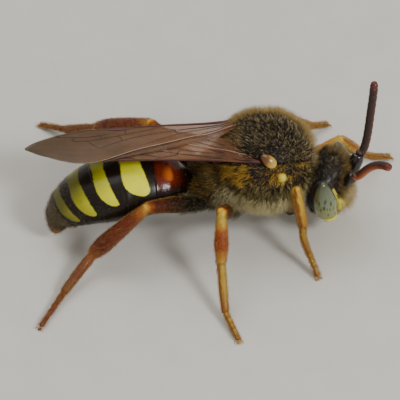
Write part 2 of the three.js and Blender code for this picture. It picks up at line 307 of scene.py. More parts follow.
# Tegula: amber, clear at its rim like thin horn, and dark towards its upper end.
horn, horn_shader = finish("amber_horn_cuticle", Roughness=0.24, Coat_Weight=0.4, Coat_Roughness=0.15)
horn_tone = add(
    horn, "ValToRGB", add(horn, "Attribute", attribute_name="dark").outputs["Fac"],
    stops=[(0.0, "#c8b052"), (0.35, "#a98a36"), (0.6, "#6e4418"), (1.0, "#2c140a")],
)
horn_grain = add(horn, "TexNoise", add(horn, "TexCoord").outputs["Object"], Scale=9000, Detail=4)
horn_bump = add(horn, "Bump", Strength=0.5, Distance=0.01 * MM, Height=horn_grain)
fill(horn_shader, Base_Color=horn_tone, Normal=horn_bump)
lemon = cuticle(
    "lemon_yellow_cuticle", "#b9ab34", "#dccf58", 0.1, 0.006,
    Roughness=0.36, Coat_Weight=0.2, Coat_Roughness=0.3,
)[0]

for side, hand in SIDES:
    cap = bmesh.new()
    at = middle(f"tegula_{side}") + Vector((0.0, 0.02 * hand, 0.02))
    made = ball(cap, (0, 0, 0), TEGULA_HALF, 40)
    for v in made:
        v.co.y *= 1 + 0.16 * v.co.x / TEGULA_HALF[0]
        v.co.z *= 0.55 if v.co.z < 0 else 1 - 0.25 * (v.co.x / TEGULA_HALF[0]) ** 2
    bmesh.ops.rotate(cap, matrix=Matrix.Rotation(TEGULA_TURN, 3, "Z"), verts=made)
    bmesh.ops.rotate(cap, matrix=Matrix.Rotation(TEGULA_TILT, 3, "X"), verts=made)
    if hand < 0:
        bmesh.ops.scale(cap, vec=(1, -1, 1), verts=made)
        bmesh.ops.reverse_faces(cap, faces=cap.faces)
    bmesh.ops.translate(cap, vec=at, verts=made)
    tegula = piece(f"tegula_cap_{side}", cap, [f"tegula_{side}"], "amber_cuticle", horn)
    mark(
        tegula, "dark",
        lambda co: 0.36 - 1.3 * (co.x - at.x) + 1.1 * (co.z - at.z) + 0.3 * noise.noise(co * 3),
    )
    knob = bmesh.new()
    made = ball(knob, (0, 0, 0), half(f"pronotal_lobe_{side}") * 0.78, 28)
    for v in made:
        v.co.z *= 1 - 0.25 * v.co.x / 0.24
    bmesh.ops.translate(knob, vec=middle(f"pronotal_lobe_{side}"), verts=made)
    piece(f"pronotal_knob_{side}", knob, [f"pronotal_lobe_{side}"], "yellow_cuticle", lemon)

# ---------------------------------------------------------------- head
# The head is a hard capsule, wide and short, narrowing to the mouth. Black cuticle covers it but for the
# lemon-yellow lower face and the stripes along the inner edges of the eyes.
EYE_AT, EYE_HALF, EYE_LEAN = Vector((0.06, 1.0, 0.06)), Vector((0.42, 0.4, 0.9)), math.radians(7)
EYE_CREST = {"left": -0.08, "right": 0.1}  # how much higher the top of the eye is drawn out
FACET_STEP = 1.006  # the middles of the facets stand out by this
CAPSULE = (  # the bodies that the capsule is fused from: middle and half lengths
    ((-0.02, 0, 0.02), (0.6, 1.16, 1.0)), ((0.12, 0, 0.62), (0.42, 0.62, 0.38)),
    ((0.3, 0, 0.2), (0.38, 0.6, 0.5)), ((0.36, 0, -0.42), (0.36, 0.56, 0.5)),
    ((-0.12, 0.82, -0.02), (0.5, 0.44, 0.84)), ((-0.12, -0.82, -0.02), (0.5, 0.44, 0.84)),
)
across = (middle("eye_left") - middle("eye_right")).normalized()
head_turn = Matrix.Rotation(math.atan2(-across.x, across.y), 3, "Z")
head_middle = (middle("eye_left") + middle("eye_right")) / 2 - head_turn @ Vector((EYE_AT.x, 0, EYE_AT.z))


def on_head(point):
    """A place in the head's own frame (forwards, left, up from its middle) as a place on the bee."""
    return head_middle + head_turn @ Vector(point)


def in_head(place):
    return head_turn.transposed() @ (Vector(place) - head_middle)


def from_eye(point):
    """How far a place in the head's frame is from the nearer eye: 1 is the eye's own surface."""
    away = Vector((point.x - EYE_AT.x, abs(point.y) - EYE_AT.y, point.z - EYE_AT.z))
    away.rotate(Matrix.Rotation(EYE_LEAN, 3, "X"))
    return Vector((away.x / EYE_HALF.x, away.y / EYE_HALF.y, away.z / EYE_HALF.z)).length


def step(low, high, value):
    """0 below low, 1 above high, and a smooth rise between them."""
    share = min(1.0, max(0.0, (value - low) / (high - low)))
    return share * share * (3 - 2 * share)


capsule = bmesh.new()
for at, size in CAPSULE:
    ball(capsule, at, size, 40)
capsule = fused(capsule, 0.045, 5)
for v in capsule.verts:  # a groove round each eye, a ring round each feeler's root, and a keel between them
    v.co.y *= 1 - 0.24 * step(0, 1, -v.co.z)
    rim = bell(from_eye(v.co) - 1.06, 0.05)
    socket = bell(Vector((v.co.x - 0.64, abs(v.co.y) - 0.27, v.co.z - 0.24)).length - 0.2, 0.05)
    keel = bell(v.co.y, 0.06) * (v.co.x > 0.2) * (-0.1 < v.co.z < 0.5)
    dent = DENTS * noise.noise(v.co * DENT_PITCH)
    v.co = on_head(v.co + v.co.normalized() * (0.03 * socket + 0.03 * keel - 0.03 * rim + dent))
face, face_shader, face_swell, face_black = cuticle(
    "black_and_yellow_cuticle", "#0d0a09", "#2a1e17", 0.06, 0.016, Roughness=0.4, Specular_IOR_Level=0.45
)
face_mark = add(face, "Attribute", attribute_name="yellow").outputs["Fac"]
face_edge = add(face, "MapRange", face_mark, -0.03, 0.03, interpolation_type="SMOOTHSTEP")
face_lemon = add(face, "MixRGB", face_swell, "#b5a733", "#d9cc55")
fill(face_shader, Base_Color=add(face, "MixRGB", face_edge, face_black, face_lemon))
head_skin = piece("head_capsule", capsule, ["head"], "black_cuticle", face)


def face_field(co):
    """Above 0 on the yellow: a stripe along each eye that widens downwards, and the lower face."""
    point = in_head(co)
    stripe = 0.1 + step(0.45, -0.6, point.z) - abs(from_eye(point) - 1)
    return max(min(stripe, point.x - 0.1, 0.5 - point.z), min(-0.42 - point.z, point.x, 0.3))


mark(head_skin, "yellow", face_field)

# Compound eyes: about two and a half thousand low glassy domes each, over pale grey-green pigment with
# dark spots that lie behind the facets.
glass, glass_shader = finish("grey_green_eye_facets", Roughness=0.22, Coat_Weight=0.6, Coat_Roughness=0.08)
eye_tint = add(
    glass, "ValToRGB", add(glass, "Attribute", attribute_name="height").outputs["Fac"],
    stops=[(0.0, "#868a2c"), (0.3, "#7c8440"), (0.62, "#66704e"), (1.0, "#4a4e38")],
)
eye_drawn = add(
    glass, "VectorMath", add(glass, "TexCoord").outputs["Object"], (1, 1, 0.33), operation="MULTIPLY"
)
eye_spots = add(glass, "TexVoronoi", eye_drawn, Scale=8200, Randomness=0.9)
eye_spot = add(glass, "MapRange", eye_spots, 0.2, 0.42, 0.92, 0.0)
eye_belt = add(glass, "Attribute", attribute_name="belt").outputs["Fac"]
eye_dark = add(glass, "Math", eye_spot, eye_belt, operation="MULTIPLY")
fill(glass_shader, Base_Color=add(glass, "MixRGB", eye_dark, eye_tint, "#1c211c"))

for side, hand in SIDES:
    facets = bmesh.new()
    bmesh.ops.create_icosphere(facets, subdivisions=5, radius=1)
    domes = len(facets.verts)
    bmesh.ops.subdivide_edges(facets, edges=facets.edges[:], cuts=1, use_grid_fill=True)
    for k, v in enumerate(facets.verts):
        v.co = v.co.normalized() * (FACET_STEP if k < domes else 1)
        up = v.co.z
        v.co.x *= EYE_HALF.x * (1 - 0.34 * max(0, up) + 0.5 * step(-0.3, -1, up))
        v.co.x -= 0.04 * up
        v.co.y *= EYE_HALF.y * (1 - 0.12 * step(0.1, 1, up) + 0.3 * step(-0.35, -1, up))
        v.co.z *= EYE_HALF.z * (1 - 0.15 * step(-0.4, -1, up) + EYE_CREST[side] * step(0.3, 1, up))
    bmesh.ops.rotate(facets, matrix=Matrix.Rotation(-EYE_LEAN * hand, 3, "X"), verts=facets.verts)
    for v in facets.verts:
        v.co = on_head(v.co + Vector((EYE_AT.x, EYE_AT.y * hand, EYE_AT.z)))
    bmesh.ops.recalc_face_normals(facets, faces=facets.faces)
    eye = piece(f"eye_facets_{side}", facets, [f"eye_{side}"], "eye", glass)
    mark(eye, "height", lambda co: 0.5 + (in_head(co).z - EYE_AT.z) / 1.8)
    mark(eye, "belt", lambda co: step(-0.7, -0.4, in_head(co).z) * step(0.65, 0.3, in_head(co).z))

# Three simple eyes on the crown: clear domes, dark inside and very shiny.
bead, bead_shader = finish("dark_glassy_bead", Roughness=0.06, Coat_Weight=1.0, Coat_Roughness=0.03)
bead_depth = add(bead, "LayerWeight", 0.35).outputs["Facing"]
fill(bead_shader, Base_Color=add(bead, "MixRGB", bead_depth, "#24140c", "#6b4a2a"))
beads = bmesh.new()
for at in ((0.22, 0, 0.94), (0.02, 0.24, 0.98), (0.02, -0.24, 0.98)):
    ball(beads, on_head(at), (0.085, 0.085, 0.07), 20)
piece("ocelli", beads, [], "eye", bead)

# The clypeus is a smooth yellow shield over the mouth, with the narrow upper lip hinged below it.
shield = bmesh.new()
for v in ball(shield, (0, 0, 0), (0.34, 0.56, 0.47), 40):
    v.co.y *= 1 + 0.2 * step(0.1, -0.45, v.co.z)
    v.co.z = max(v.co.z, -0.36) - 0.04 * (v.co.y / 0.56) ** 2
    v.co = on_head(v.co + Vector((0.42, 0, -0.44)))
for v in ball(shield, (0, 0, 0), (0.1, 0.34, 0.16), 28):
    v.co = on_head(v.co + Vector((0.54, 0, -0.84)))
piece("face_shield", shield, ["clypeus"], "yellow_cuticle", lemon)


def course(points, fine=24):
    """A smooth line through points. What it returns gives the place and the direction at a share of it."""
    points = [Vector(p) for p in points]
    ends = [2 * points[0] - points[1], *points, 2 * points[-1] - points[-2]]
    dense = []
    for a, b, c, d in zip(ends, ends[1:], ends[2:], ends[3:]):
        for k in range(fine):
            t = k / fine
            bend = (c - a) * t + (2 * a - 5 * b + 4 * c - d) * t * t + (3 * b - a - 3 * c + d) * t**3
            dense.append(b + bend / 2)
    dense = np.array([*dense, points[-1]])
    lengths = np.concatenate([[0], np.cumsum(np.linalg.norm(np.diff(dense, axis=0), axis=1))])

    def place(share):
        return Vector([np.interp(share * lengths[-1], lengths, dense[:, k]) for k in range(3)])

    def at(share):
        ahead = place(min(1, share + 0.01)) - place(max(0, share - 0.01))
        return place(share), ahead.normalized()

    at.length = float(lengths[-1])
    return at


def own_map(faces, layer):
    """A map over a fresh grid: 0 to 1 along it and across it."""
    for loop in (loop for face in faces for loop in face.loops):
        loop[layer].uv = (loop.vert.co.x + 0.5, loop.vert.co.y + 0.5)


def tube(bm, line, radius, steps, sides, above=(0, 0, 1), flat=1.0, material=0, ripple=None):
    """A closed body along a line, as thick as radius(share). Its own map runs along it, and round it from
    below over the top."""
    shares = [line(k / steps) for k in range(steps + 1)]
    layer = bm.loops.layers.uv.get("Own") or bm.loops.layers.uv.new("Own")
    share_layer = bm.verts.layers.float.get("share") or bm.verts.layers.float.new("share")
    turn_layer = bm.verts.layers.float.get("turn") or bm.verts.layers.float.new("turn")
    made = bmesh.ops.create_grid(bm, x_segments=steps, y_segments=sides, size=0.5)["verts"]
    faces = {face for v in made for face in v.link_faces}
    own_map(faces, layer)
    for face in faces:
        face.material_index = material
    for v in made:
        share, turn = v.co.x + 0.5, (v.co.y + 0.5) * 2 * math.pi
        place, ahead = shares[round(share * steps)]
        side = ahead.cross(Vector(above)).normalized()
        top = side.cross(ahead)
        size = radius(share) * (ripple(share, turn) if ripple else 1)
        v.co = place + size * (side * math.sin(turn) - top * math.cos(turn) * flat)
        v[share_layer], v[turn_layer] = share, turn
    bmesh.ops.remove_doubles(bm, verts=made, dist=1e-4)
    return made


def along(*stops):
    """The profile through (share, size) pairs, as a function of the share."""
    shares, sizes = zip(*stops)
    return lambda share: float(np.interp(share, shares, sizes))


def closed(bm):
    bmesh.ops.recalc_face_normals(bm, faces=bm.faces)
    return bm


# Mandibles: curved blades hinged at the cheeks and crossed below the lip, yellow with red-brown tips.
blade, blade_shader = finish("yellow_to_red_jaw_cuticle", Roughness=0.3, Coat_Weight=0.3, Coat_Roughness=0.2)
blade_map = add(blade, "UVMap", uv_map="Own")
blade_tone = add(
    blade, "ValToRGB", add(blade, "SeparateXYZ", blade_map),
    stops=[(0.0, "#c9c038"), (0.6, "#d6cc48"), (0.84, "#b89630"), (0.95, "#7a4a18"), (1.0, "#3a1c0c")],
)
blade_grain = add(blade, "TexNoise", blade_map, Scale=14, Detail=4)
blade_bump = add(blade, "Bump", Strength=0.5, Distance=0.01 * MM, Height=blade_grain)
fill(blade_shader, Base_Color=blade_tone, Normal=blade_bump)
for side, hand in SIDES:
    jaw = bmesh.new()
    bends = ((-0.08, 0.84, -0.8), (0.2, 0.68, -1.0), (0.46, 0.16, -1.02))
    path = course([on_head((x, y * hand, z)) for x, y, z in bends])
    girth = along((0, 0), (0.03, 0.15), (0.25, 0.19), (0.6, 0.13), (0.92, 0.07), (1, 0))
    tube(jaw, path, girth, 28, 18, flat=0.8)
    piece(f"jaw_{side}", closed(jaw), [f"mandible_{side}"], "yellow_cuticle", blade)

# ---------------------------------------------------------------- feelers
# Each feeler has a long shiny black first joint, a small round second one, and eleven short dull joints
# with a velvet of fine sense hairs, dark above and red-orange below.
FEELER_RINGS = 11
SCAPE_THICK = {"left": 1.3, "right": 1.1}
ELBOW_LIFT = {"left": 0.08, "right": 0.12}
DARK_SIDE = {"left": (-0.6, -0.8, 0.4), "right": (-0.3, 1, 0.3)}  # the way the dark side faces


def joint(a, b):
    """Where two solid parts meet: the middle of the corners that face each other over the gap."""
    first, second = corners(a), corners(b)
    apart = np.linalg.norm(first[:, None] - second[None], axis=2)
    facing = np.concatenate([first[apart.min(1) < 0.09], second[apart.min(0) < 0.09]])
    return Vector((facing.min(0) + facing.max(0)) / 2)


def far_end(name, start, inset):
    """The middle of the end of a limb's part that is furthest from a point, less its rounding."""
    found = corners(name)
    away = np.linalg.norm(found - np.array(start), axis=1)
    tip = Vector(found[away > away.max() - 0.05].mean(0))
    return tip + (Vector(start) - tip).normalized() * inset


def midline(name, start, count):
    """The middle line of a long bent part: a smooth curve fitted through its corners, each at its distance
    over the surface, and carried on to the tip."""
    skin = bmesh.new()
    skin.from_mesh(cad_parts[name].data)
    bmesh.ops.remove_doubles(skin, verts=skin.verts, dist=1e-7)
    skin.verts.ensure_lookup_table()
    first = min(skin.verts, key=lambda v: (v.co / MM - Vector(start)).length)
    far, queue = {first.index: 0.0}, [(0.0, first.index)]
    while queue:
        so_far, index = heapq.heappop(queue)
        if so_far > far[index]:
            continue
        for edge in skin.verts[index].link_edges:
            other, reach = edge.other_vert(skin.verts[index]).index, so_far + edge.calc_length() / MM
            if reach < far.get(other, math.inf):
                far[other] = reach
                heapq.heappush(queue, (reach, other))
    places = np.array([skin.verts[k].co for k in far]) / MM
    shares = np.array(list(far.values())) / max(far.values())
    skin.free()
    fits = [np.polyfit(shares, places[:, k], 5) for k in range(3)]
    tip = Vector(places[shares.argmax()])
    line = [Vector([float(np.polyval(fit, k / count)) for fit in fits]) for k in range(count)]
    return [*line, tip + (line[-1] - tip).normalized() * 0.12]


scape_black = cuticle(
    "shiny_black_cuticle", "#0b0807", "#231610", 0.05, 0.006,
    Roughness=0.22, Coat_Weight=0.3, Coat_Roughness=0.15,
)[0]

velvet, velvet_shader = finish("velvety_brown_feeler_cuticle", Roughness=0.42, Sheen_Weight=0.04)
velvet_way = add(velvet, "SeparateXYZ", add(velvet, "UVMap", uv_map="Own")).outputs
velvet_rise = add(velvet, "MapRange", velvet_way["Y"], 0.0, 0.5)
velvet_fall = add(velvet, "MapRange", velvet_way["Y"], 1.0, 0.5)
velvet_ramp = add(
    velvet, "ValToRGB", add(velvet, "Math", velvet_rise, velvet_fall, operation="MINIMUM"),
    stops=[(0.0, "#b8641c"), (0.24, "#8a3e14"), (0.44, "#56270f"), (0.7, "#2e170e"), (1.0, "#2c1b18")],
)
velvet_tip = add(
    velvet, "MapRange", velvet_way["X"], 0.84, 0.98, 0, 0.5, interpolation_type="SMOOTHSTEP"
)
velvet_nap = add(velvet, "TexNoise", add(velvet, "TexCoord").outputs["Object"], Scale=30000, Detail=3)
velvet_bump = add(velvet, "Bump", Strength=0.6, Distance=0.008 * MM, Height=velvet_nap)
velvet_colour = add(velvet, "MixRGB", velvet_tip, velvet_ramp, "#6c240f")
fill(velvet_shader, Base_Color=velvet_colour, Normal=velvet_bump, Sheen_Tint="#c8b0a8")


def ring_girth(share):
    """Each joint of the flagellum swells a little towards its far end and is nipped where two meet."""
    ring = share * FEELER_RINGS
    part = ring - min(math.floor(ring), FEELER_RINGS - 1)
    nip = 1 - 0.1 * bell(part, 0.07) - 0.07 * bell(1 - part, 0.05)
    ends = min(1, (share / 0.02) ** 0.5) * min(1, ((1 - share) / 0.05) ** 0.5)
    return 0.15 * (0.97 + 0.04 * part) * nip * ends * (1 - 0.12 * step(0.9, 1, share))


scape_girth = along((0, 0), (0.03, 0.1), (0.12, 0.13), (0.3, 0.17), (0.75, 0.185), (0.94, 0.15), (1, 0.0))
for side, _ in SIDES:
    elbow = joint(f"scape_{side}", f"flagellum_{side}")
    socket = far_end(f"scape_{side}", elbow, 0.05)
    elbow += Vector((0, 0, ELBOW_LIFT[side]))
    reach = (elbow - socket).normalized()
    club = bmesh.new()
    path = course([socket, socket.lerp(elbow, 0.5) + Vector((0.02, 0, 0.03)), elbow])
    tube(club, path, lambda share: scape_girth(share) * SCAPE_THICK[side], 30, 20)
    piece(f"scape_joint_{side}", closed(club), [f"scape_{side}"], "black_cuticle", scape_black)
    whip = bmesh.new()
    bow = midline(f"flagellum_{side}", elbow, 12)
    if side == "left":  # the raised feeler leans a little further forwards, and its tip bends back
        bow = [place + Vector((0.14 * k / 12, 0, 0.012 * k)) for k, place in enumerate(bow)]
        bow.append(bow[-1] + Vector((-0.12, 0.02, 0.06)))
    path = course([elbow + reach * 0.02, *bow[1:]])
    tube(whip, path, ring_girth, FEELER_RINGS * 8, 18, DARK_SIDE[side])
    path = course([elbow - reach * 0.07, elbow + reach * 0.12])
    tube(whip, path, lambda share: 0.13 * math.sin(math.pi * share) ** 0.5, 10, 16)
    piece(f"feeler_{side}", closed(whip), [f"flagellum_{side}"], "feeler", velvet)

# ---------------------------------------------------------------- abdomen
# Seven rings of hard plate, each slipped over the next like the joints of a telescope, with thin rims.
# The first is glossy red and black, the next four black with a yellow band, and the last two olive brown.
RIMS = [0, 0.275, 0.465, 0.63, 0.765, 0.87, 0.94, 1]  # where each ring ends, as a share of the abdomen
GIRTH = along(
    (0, 0.16), (0.012, 0.26), (0.05, 0.5), (0.1, 0.86), (0.17, 1.12), (0.26, 1.26), (0.36, 1.33),
    (0.48, 1.33), (0.6, 1.25), (0.71, 1.11), (0.81, 0.92), (0.89, 0.69), (0.95, 0.46), (0.985, 0.22), (1, 0),
)
TAIL_GIRTH = along((0, 0), (0.02, 0.5), (0.3, 0.48), (0.6, 0.36), (0.85, 0.22), (0.96, 0.13), (1, 0))
FLATNESS, OVERLAP = 0.76, 0.03
# Each yellow band: its middle at the top of the back, how far it sweeps forwards at its ends, its half
# width (all as shares of the abdomen's length) and the angle from the top at which it ends.
BANDS = (
    (0.394, 0.05, 0.073, 60), (0.579, 0.06, 0.042, 71), (0.72, 0.048, 0.038, 83), (0.828, 0.04, 0.025, 88),
)
belly_line = course(
    [
        Vector((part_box("abdomen_1")[1].x / MM, middle("propodeum").y, middle("propodeum").z - 0.1)),
        *[joint(f"abdomen_{k}", f"abdomen_{k + 1}") for k in range(1, 7)],
        far_end("abdomen_7", joint("abdomen_6", "abdomen_7"), 0.03),
    ]
)
tail = corners("abdomen_7")
tail_tip = Vector(tail[tail[:, 2] < tail[:, 2].min() + 0.06].mean(0)) + Vector((-0.04, 0, 0.04))


def banded(name, gloss, dark, mid, pale, fresh, second, painted_glow_and_amber):
    """Satin cuticle with a field of yellow and a field of red or brown over near-black. The yellow turns olive
    towards the tail as painted shade, and on the first ring the strongest red takes a painted glow.
    """
    made, shader, swell, ground = cuticle(
        name, dark, mid, 0.055, 0.008,
        Roughness=gloss, Coat_Weight=0.12, Coat_Roughness=0.16, Specular_IOR_Level=0.24,
    )
    yellow, red, tail_shade = [
        add(made, "Attribute", attribute_name=field).outputs["Fac"] for field in ("yellow", "red", "tail_shade")
    ]
    ragged = add(made, "TexNoise", add(made, "TexCoord").outputs["Object"], Scale=9000, Detail=3)
    wander = add(made, "MapRange", ragged, 0, 1, -0.03, 0.03)
    shifted = add(made, "Math", yellow, wander, operation="ADD")
    edge = add(made, "MapRange", shifted, -0.025, 0.025, interpolation_type="SMOOTHSTEP")
    # the strongest red or brown takes the last colour: a painted glow on the first ring, the tail tip's own
    # amber on the last rings
    tint = add(made, "MixRGB", add(made, "MapRange", red, 0.85, 1), second, painted_glow_and_amber)
    # painted shade: the yellow darkens to olive towards the tail, and from further forwards high on the back
    light = add(made, "MixRGB", tail_shade, add(made, "MixRGB", swell, pale, fresh), "#5f5c1c")
    fill(shader, Base_Color=add(made, "MixRGB", edge, add(made, "MixRGB", red, ground, tint), light))
    return made


first_ring = banded(
    "glossy_red_and_black_cuticle", 0.14, "#0e0705", "#170b07", "#c06420", "#cc7426", "#6a1f08", "#b8601c"
)
band_rings = banded(
    "black_cuticle_with_lemon_bands", 0.33, "#110b06", "#1f140b", "#d8d61c", "#e6e42a", "#33200f", "#33200f"
)
last_rings = banded(
    "olive_brown_cuticle", 0.46, "#30230a", "#4a380f", "#8f8534", "#a69a40", "#7a4a16", "#a06224"
)


def lapped(start, end):
    """A ring's girth along its own tube: tucked in ahead, full, then a thin raised rim that turns in."""

    def girth(share):
        tuck, rim = 0.05 * math.exp(-share / 0.06), 0.018 * step(0.8, 0.93, share)
        close = 1 if share < 0.975 else max(0, 1 - ((share - 0.975) / 0.025) ** 2)
        return max(0, (GIRTH(start + (end - start) * share) - tuck + rim) * close) if share > 0 else 0

    return girth


def fold(share, turn):
    """The back plate's edge laps over the belly plate low on each side, and the belly is flatter."""
    lean = abs(turn - math.pi)
    return 1 + 0.012 * (1 - step(2.02, 2.08, lean)) - 0.05 * step(2.3, 3.1, lean)


def band_field(where, lean):
    """Above 0 inside a yellow band, in millimetres from its edge."""
    best = -1.0
    for centre, sweep, width, last in BANDS:
        turn = lean / last
        here = width * (1 - 0.22 * bell(lean, 20)) * max(0.0, 1 - turn**7) ** 0.5
        best = max(best, (here if turn < 1 else -0.02 * turn) - abs(where - centre + sweep * turn**3.2))
    return best * belly_line.length


def red_field(where, lean):
    """The red patch over the first ring, brighter orange at its middle as a painted glow."""
    patch = step(0.05, 0.17, where) * step(0.274, 0.24, where) * step(64, 36, lean)
    return patch * (0.8 + 0.2 * math.exp(-(((where - 0.165) / 0.05) ** 2) - ((lean - 28) / 20) ** 2))


def brown_field(where, lean):
    """Brown under the belly and at the tip of the tail."""
    return min(1, 0.7 * step(95, 125, lean) + 0.9 * step(0.955, 0.98, where))


rings = []
for number in range(1, 8):
    start, end = max(0, RIMS[number - 1] - OVERLAP), RIMS[number]
    path = course([belly_line(start + (end - start) * k / 60)[0] for k in range(61)], 2)
    skin, slot = (band_rings, "banded_cuticle") if number < 6 else (last_rings, "olive_cuticle")
    if number == 1:
        skin, slot = first_ring, "rust_cuticle"
    if number == 7:
        path = course([belly_line(0.9)[0], belly_line(0.94)[0], tail_tip])
    ring = bmesh.new()
    tube(ring, path, TAIL_GIRTH if number == 7 else lapped(start, end), 44, 80, flat=FLATNESS, ripple=fold)
    made = piece(f"abdomen_ring_{number}", closed(ring), [f"abdomen_{number}"], slot, skin)
    shares = [start + (end - start) * value.value for value in made.data.attributes["share"].data]
    leans = [abs(math.degrees(value.value - math.pi)) for value in made.data.attributes["turn"].data]
    spots = list(zip(shares, leans))
    mark(made, "yellow", [-1.0 if number == 1 else band_field(*spot) for spot in spots])
    mark(made, "red", [(red_field if number == 1 else brown_field)(*spot) for spot in spots])
    # where the yellow darkens to olive in painted shade, towards the tail and further forwards high on the
    # back
    mark(made, "tail_shade", [step(0.42, 0.93, where + 0.004 * max(0, 50 - lean)) for where, lean in spots])
    rings.append(made)

# ---------------------------------------------------------------- legs
# Each leg is a row of hollow cuticle tubes on pin joints: coxa, femur, tibia with its spurs, a long heel
# joint and four short ones, then two claws with a pad. Rust red at the top, orange and yellow below.
FORE_KNEE_LIFT, FORE_HEEL_BOW = 0.07, -0.07
SOLE_GAP = 0.004  # between the soles and the floor
TOE_HEIGHT, TIP_HEIGHT = 0.17, 0.1  # the least height of the foot's first joint, and that of its last
OVERSHOOT = {"femur": 0.12, "tibia": 0.1, "heel": 0.08}  # past the far joint
sole = cad_low.z / MM


def painted(name, rough, stops, stripe=None, shine=0.25):
    """Leg cuticle whose colour changes along it, and that may have a stripe down one side of it."""
    made, shader = finish(name, Roughness=rough + 0.1, Coat_Weight=shine * 0.4, Specular_IOR_Level=shine)
    way = add(made, "SeparateXYZ", add(made, "UVMap", uv_map="Own")).outputs
    place = add(made, "TexCoord").outputs["Object"]
    cloud = add(made, "TexNoise", place, Scale=4200, Detail=4)
    wander = add(made, "MapRange", cloud, 0, 1, -0.09, 0.09)
    tone = add(made, "ValToRGB", add(made, "Math", way["X"], wander, operation="ADD"), stops=stops)
    if stripe:
        centre, width, code = stripe
        away = add(made, "Math", way["Y"], centre, operation="SUBTRACT")
        size = add(made, "Math", away, operation="ABSOLUTE")
        ragged = add(made, "Math", size, wander, operation="ADD")
        tone = add(made, "MixRGB", add(made, "MapRange", ragged, width, width * 0.4, 0, 0.9), tone, code)
    grain = add(made, "TexVoronoi", place, Scale=1 / (0.045 * MM))
    dimple = add(made, "Math", grain, 0.5, operation="MINIMUM")
    fill(shader, Base_Color=tone, Normal=add(made, "Bump", Strength=0.9, Distance=0.014 * MM, Height=dimple))
    return made


femur_fore = painted(
    "rust_to_amber_leg_cuticle", 0.3, [(0, "#221006"), (0.35, "#6e3a10"), (0.75, "#c48a22"), (1, "#d0ae3c")]
)
# On the mid and hind thighs the half next to the body is nearly black: partly their own dark base, partly
# painted shade where they go in under the body.
femur_rear = painted(
    "dark_rust_leg_cuticle", 0.36,
    [(0, "#0a0604"), (0.45, "#120905"), (0.62, "#260a04"), (0.86, "#4a1606"), (0.95, "#8c4414"),
     (1, "#d0a02c")],
    shine=0.12,
)
tibia_fore = painted(
    "yellow_leg_cuticle_with_orange_stripe", 0.32,
    [(0, "#d6ac34"), (0.3, "#d8bc40"), (0.7, "#c8a236"), (1, "#a87424")], (0.36, 0.1, "#8c2f06"),
)
tibia_mid = painted(
    "yellow_and_orange_leg_cuticle", 0.3,
    [(0, "#b8742a"), (0.1, "#c8b03a"), (0.26, "#c49a30"), (0.38, "#98480f"), (0.5, "#822f08"),
     (0.72, "#8e3c0c"), (0.86, "#b88a32"), (1, "#ac8a38")],
)
tibia_hind = painted(
    "red_brown_leg_cuticle", 0.3,
    [(0, "#c49a38"), (0.1, "#9c5c1e"), (0.22, "#641e06"), (0.8, "#521604"), (0.93, "#7c3f14"),
     (1, "#9c6828")],
)
heel_amber = painted(
    "amber_leg_cuticle", 0.38, [(0, "#b49238"), (0.5, "#a8862c"), (1, "#844a18")], (0.36, 0.08, "#7c4212")
)
heel_orange = painted("orange_brown_leg_cuticle", 0.38, [(0, "#7c4014"), (0.5, "#64300e"), (1, "#6e4018")])
spine_horn = clouded("pale_horn_spur", "#6a3a18", "#c89a58", 12000, Roughness=0.35)
LEGS = {  # for each pair: its finishes and (share, radius) stops from the femur to the heel
    "fore": (
        (femur_fore, [(0, 0.15), (0.2, 0.23), (0.5, 0.26), (0.8, 0.2), (1, 0.16)]),
        (tibia_fore, [(0, 0.13), (0.12, 0.15), (0.5, 0.175), (0.82, 0.165), (1, 0.125)]),
        (heel_amber, [(0, 0.1), (0.2, 0.11), (0.6, 0.11), (1, 0.1)]),
    ),
    "mid": (
        (femur_rear, [(0, 0.16), (0.2, 0.24), (0.5, 0.27), (0.8, 0.21), (1, 0.17)]),
        (tibia_mid, [(0, 0.13), (0.12, 0.15), (0.4, 0.215), (0.62, 0.245), (0.85, 0.18), (1, 0.13)]),
        (heel_amber, [(0, 0.11), (0.2, 0.145), (0.6, 0.15), (1, 0.12)]),
    ),
    "hind": (
        (femur_rear, [(0, 0.17), (0.2, 0.26), (0.5, 0.29), (0.8, 0.23), (1, 0.17)]),
        (tibia_hind, [(0, 0.15), (0.12, 0.19), (0.4, 0.26), (0.76, 0.31), (0.92, 0.25), (1, 0.17)]),
        (heel_orange, [(0, 0.13), (0.2, 0.17), (0.6, 0.165), (1, 0.13)]),
    ),
}
HIP = along((0, 0), (0.04, 0.34), (0.4, 0.42), (0.8, 0.29), (0.97, 0.18), (1, 0))
HIP_COLLAR = along((0, 0), (0.08, 0.16), (0.5, 0.22), (0.92, 0.17), (1, 0))
SPUR = along((0, 0), (0.05, 0.03), (0.6, 0.02), (1, 0))
CLAW = along((0, 0), (0.08, 0.03), (0.55, 0.022), (1, 0))
TOES = ((-0.04, 0.27, 0.125), (0.2, 0.48, 0.115), (0.4, 0.66, 0.105), (0.56, 1.0, 0.095))  # from, to, radius
leg_tubes = []


def up(height):
    return Vector((0, 0, height))


def domed(stops, length):
    """A limb's girth from (share, radius) stops, with both of its ends rounded off."""
    shape = along(*stops)

    def girth(share):
        from_end, end = min(share, 1 - share) * length, shape(0 if share < 0.5 else 1)
        return shape(share) * (1 - max(0, 1 - from_end / (end * 0.9)) ** 2) ** 0.5

    return girth


def limb(bm, part, node, tag, slot, line, girth, *materials):
    """One closed part of a leg, noted for the bristles that grow on it."""
    piece(f"{part}_{tag}", closed(bm), [f"{node}_{tag}"], slot, *materials)
    leg_tubes.append((tag, node, line, girth))


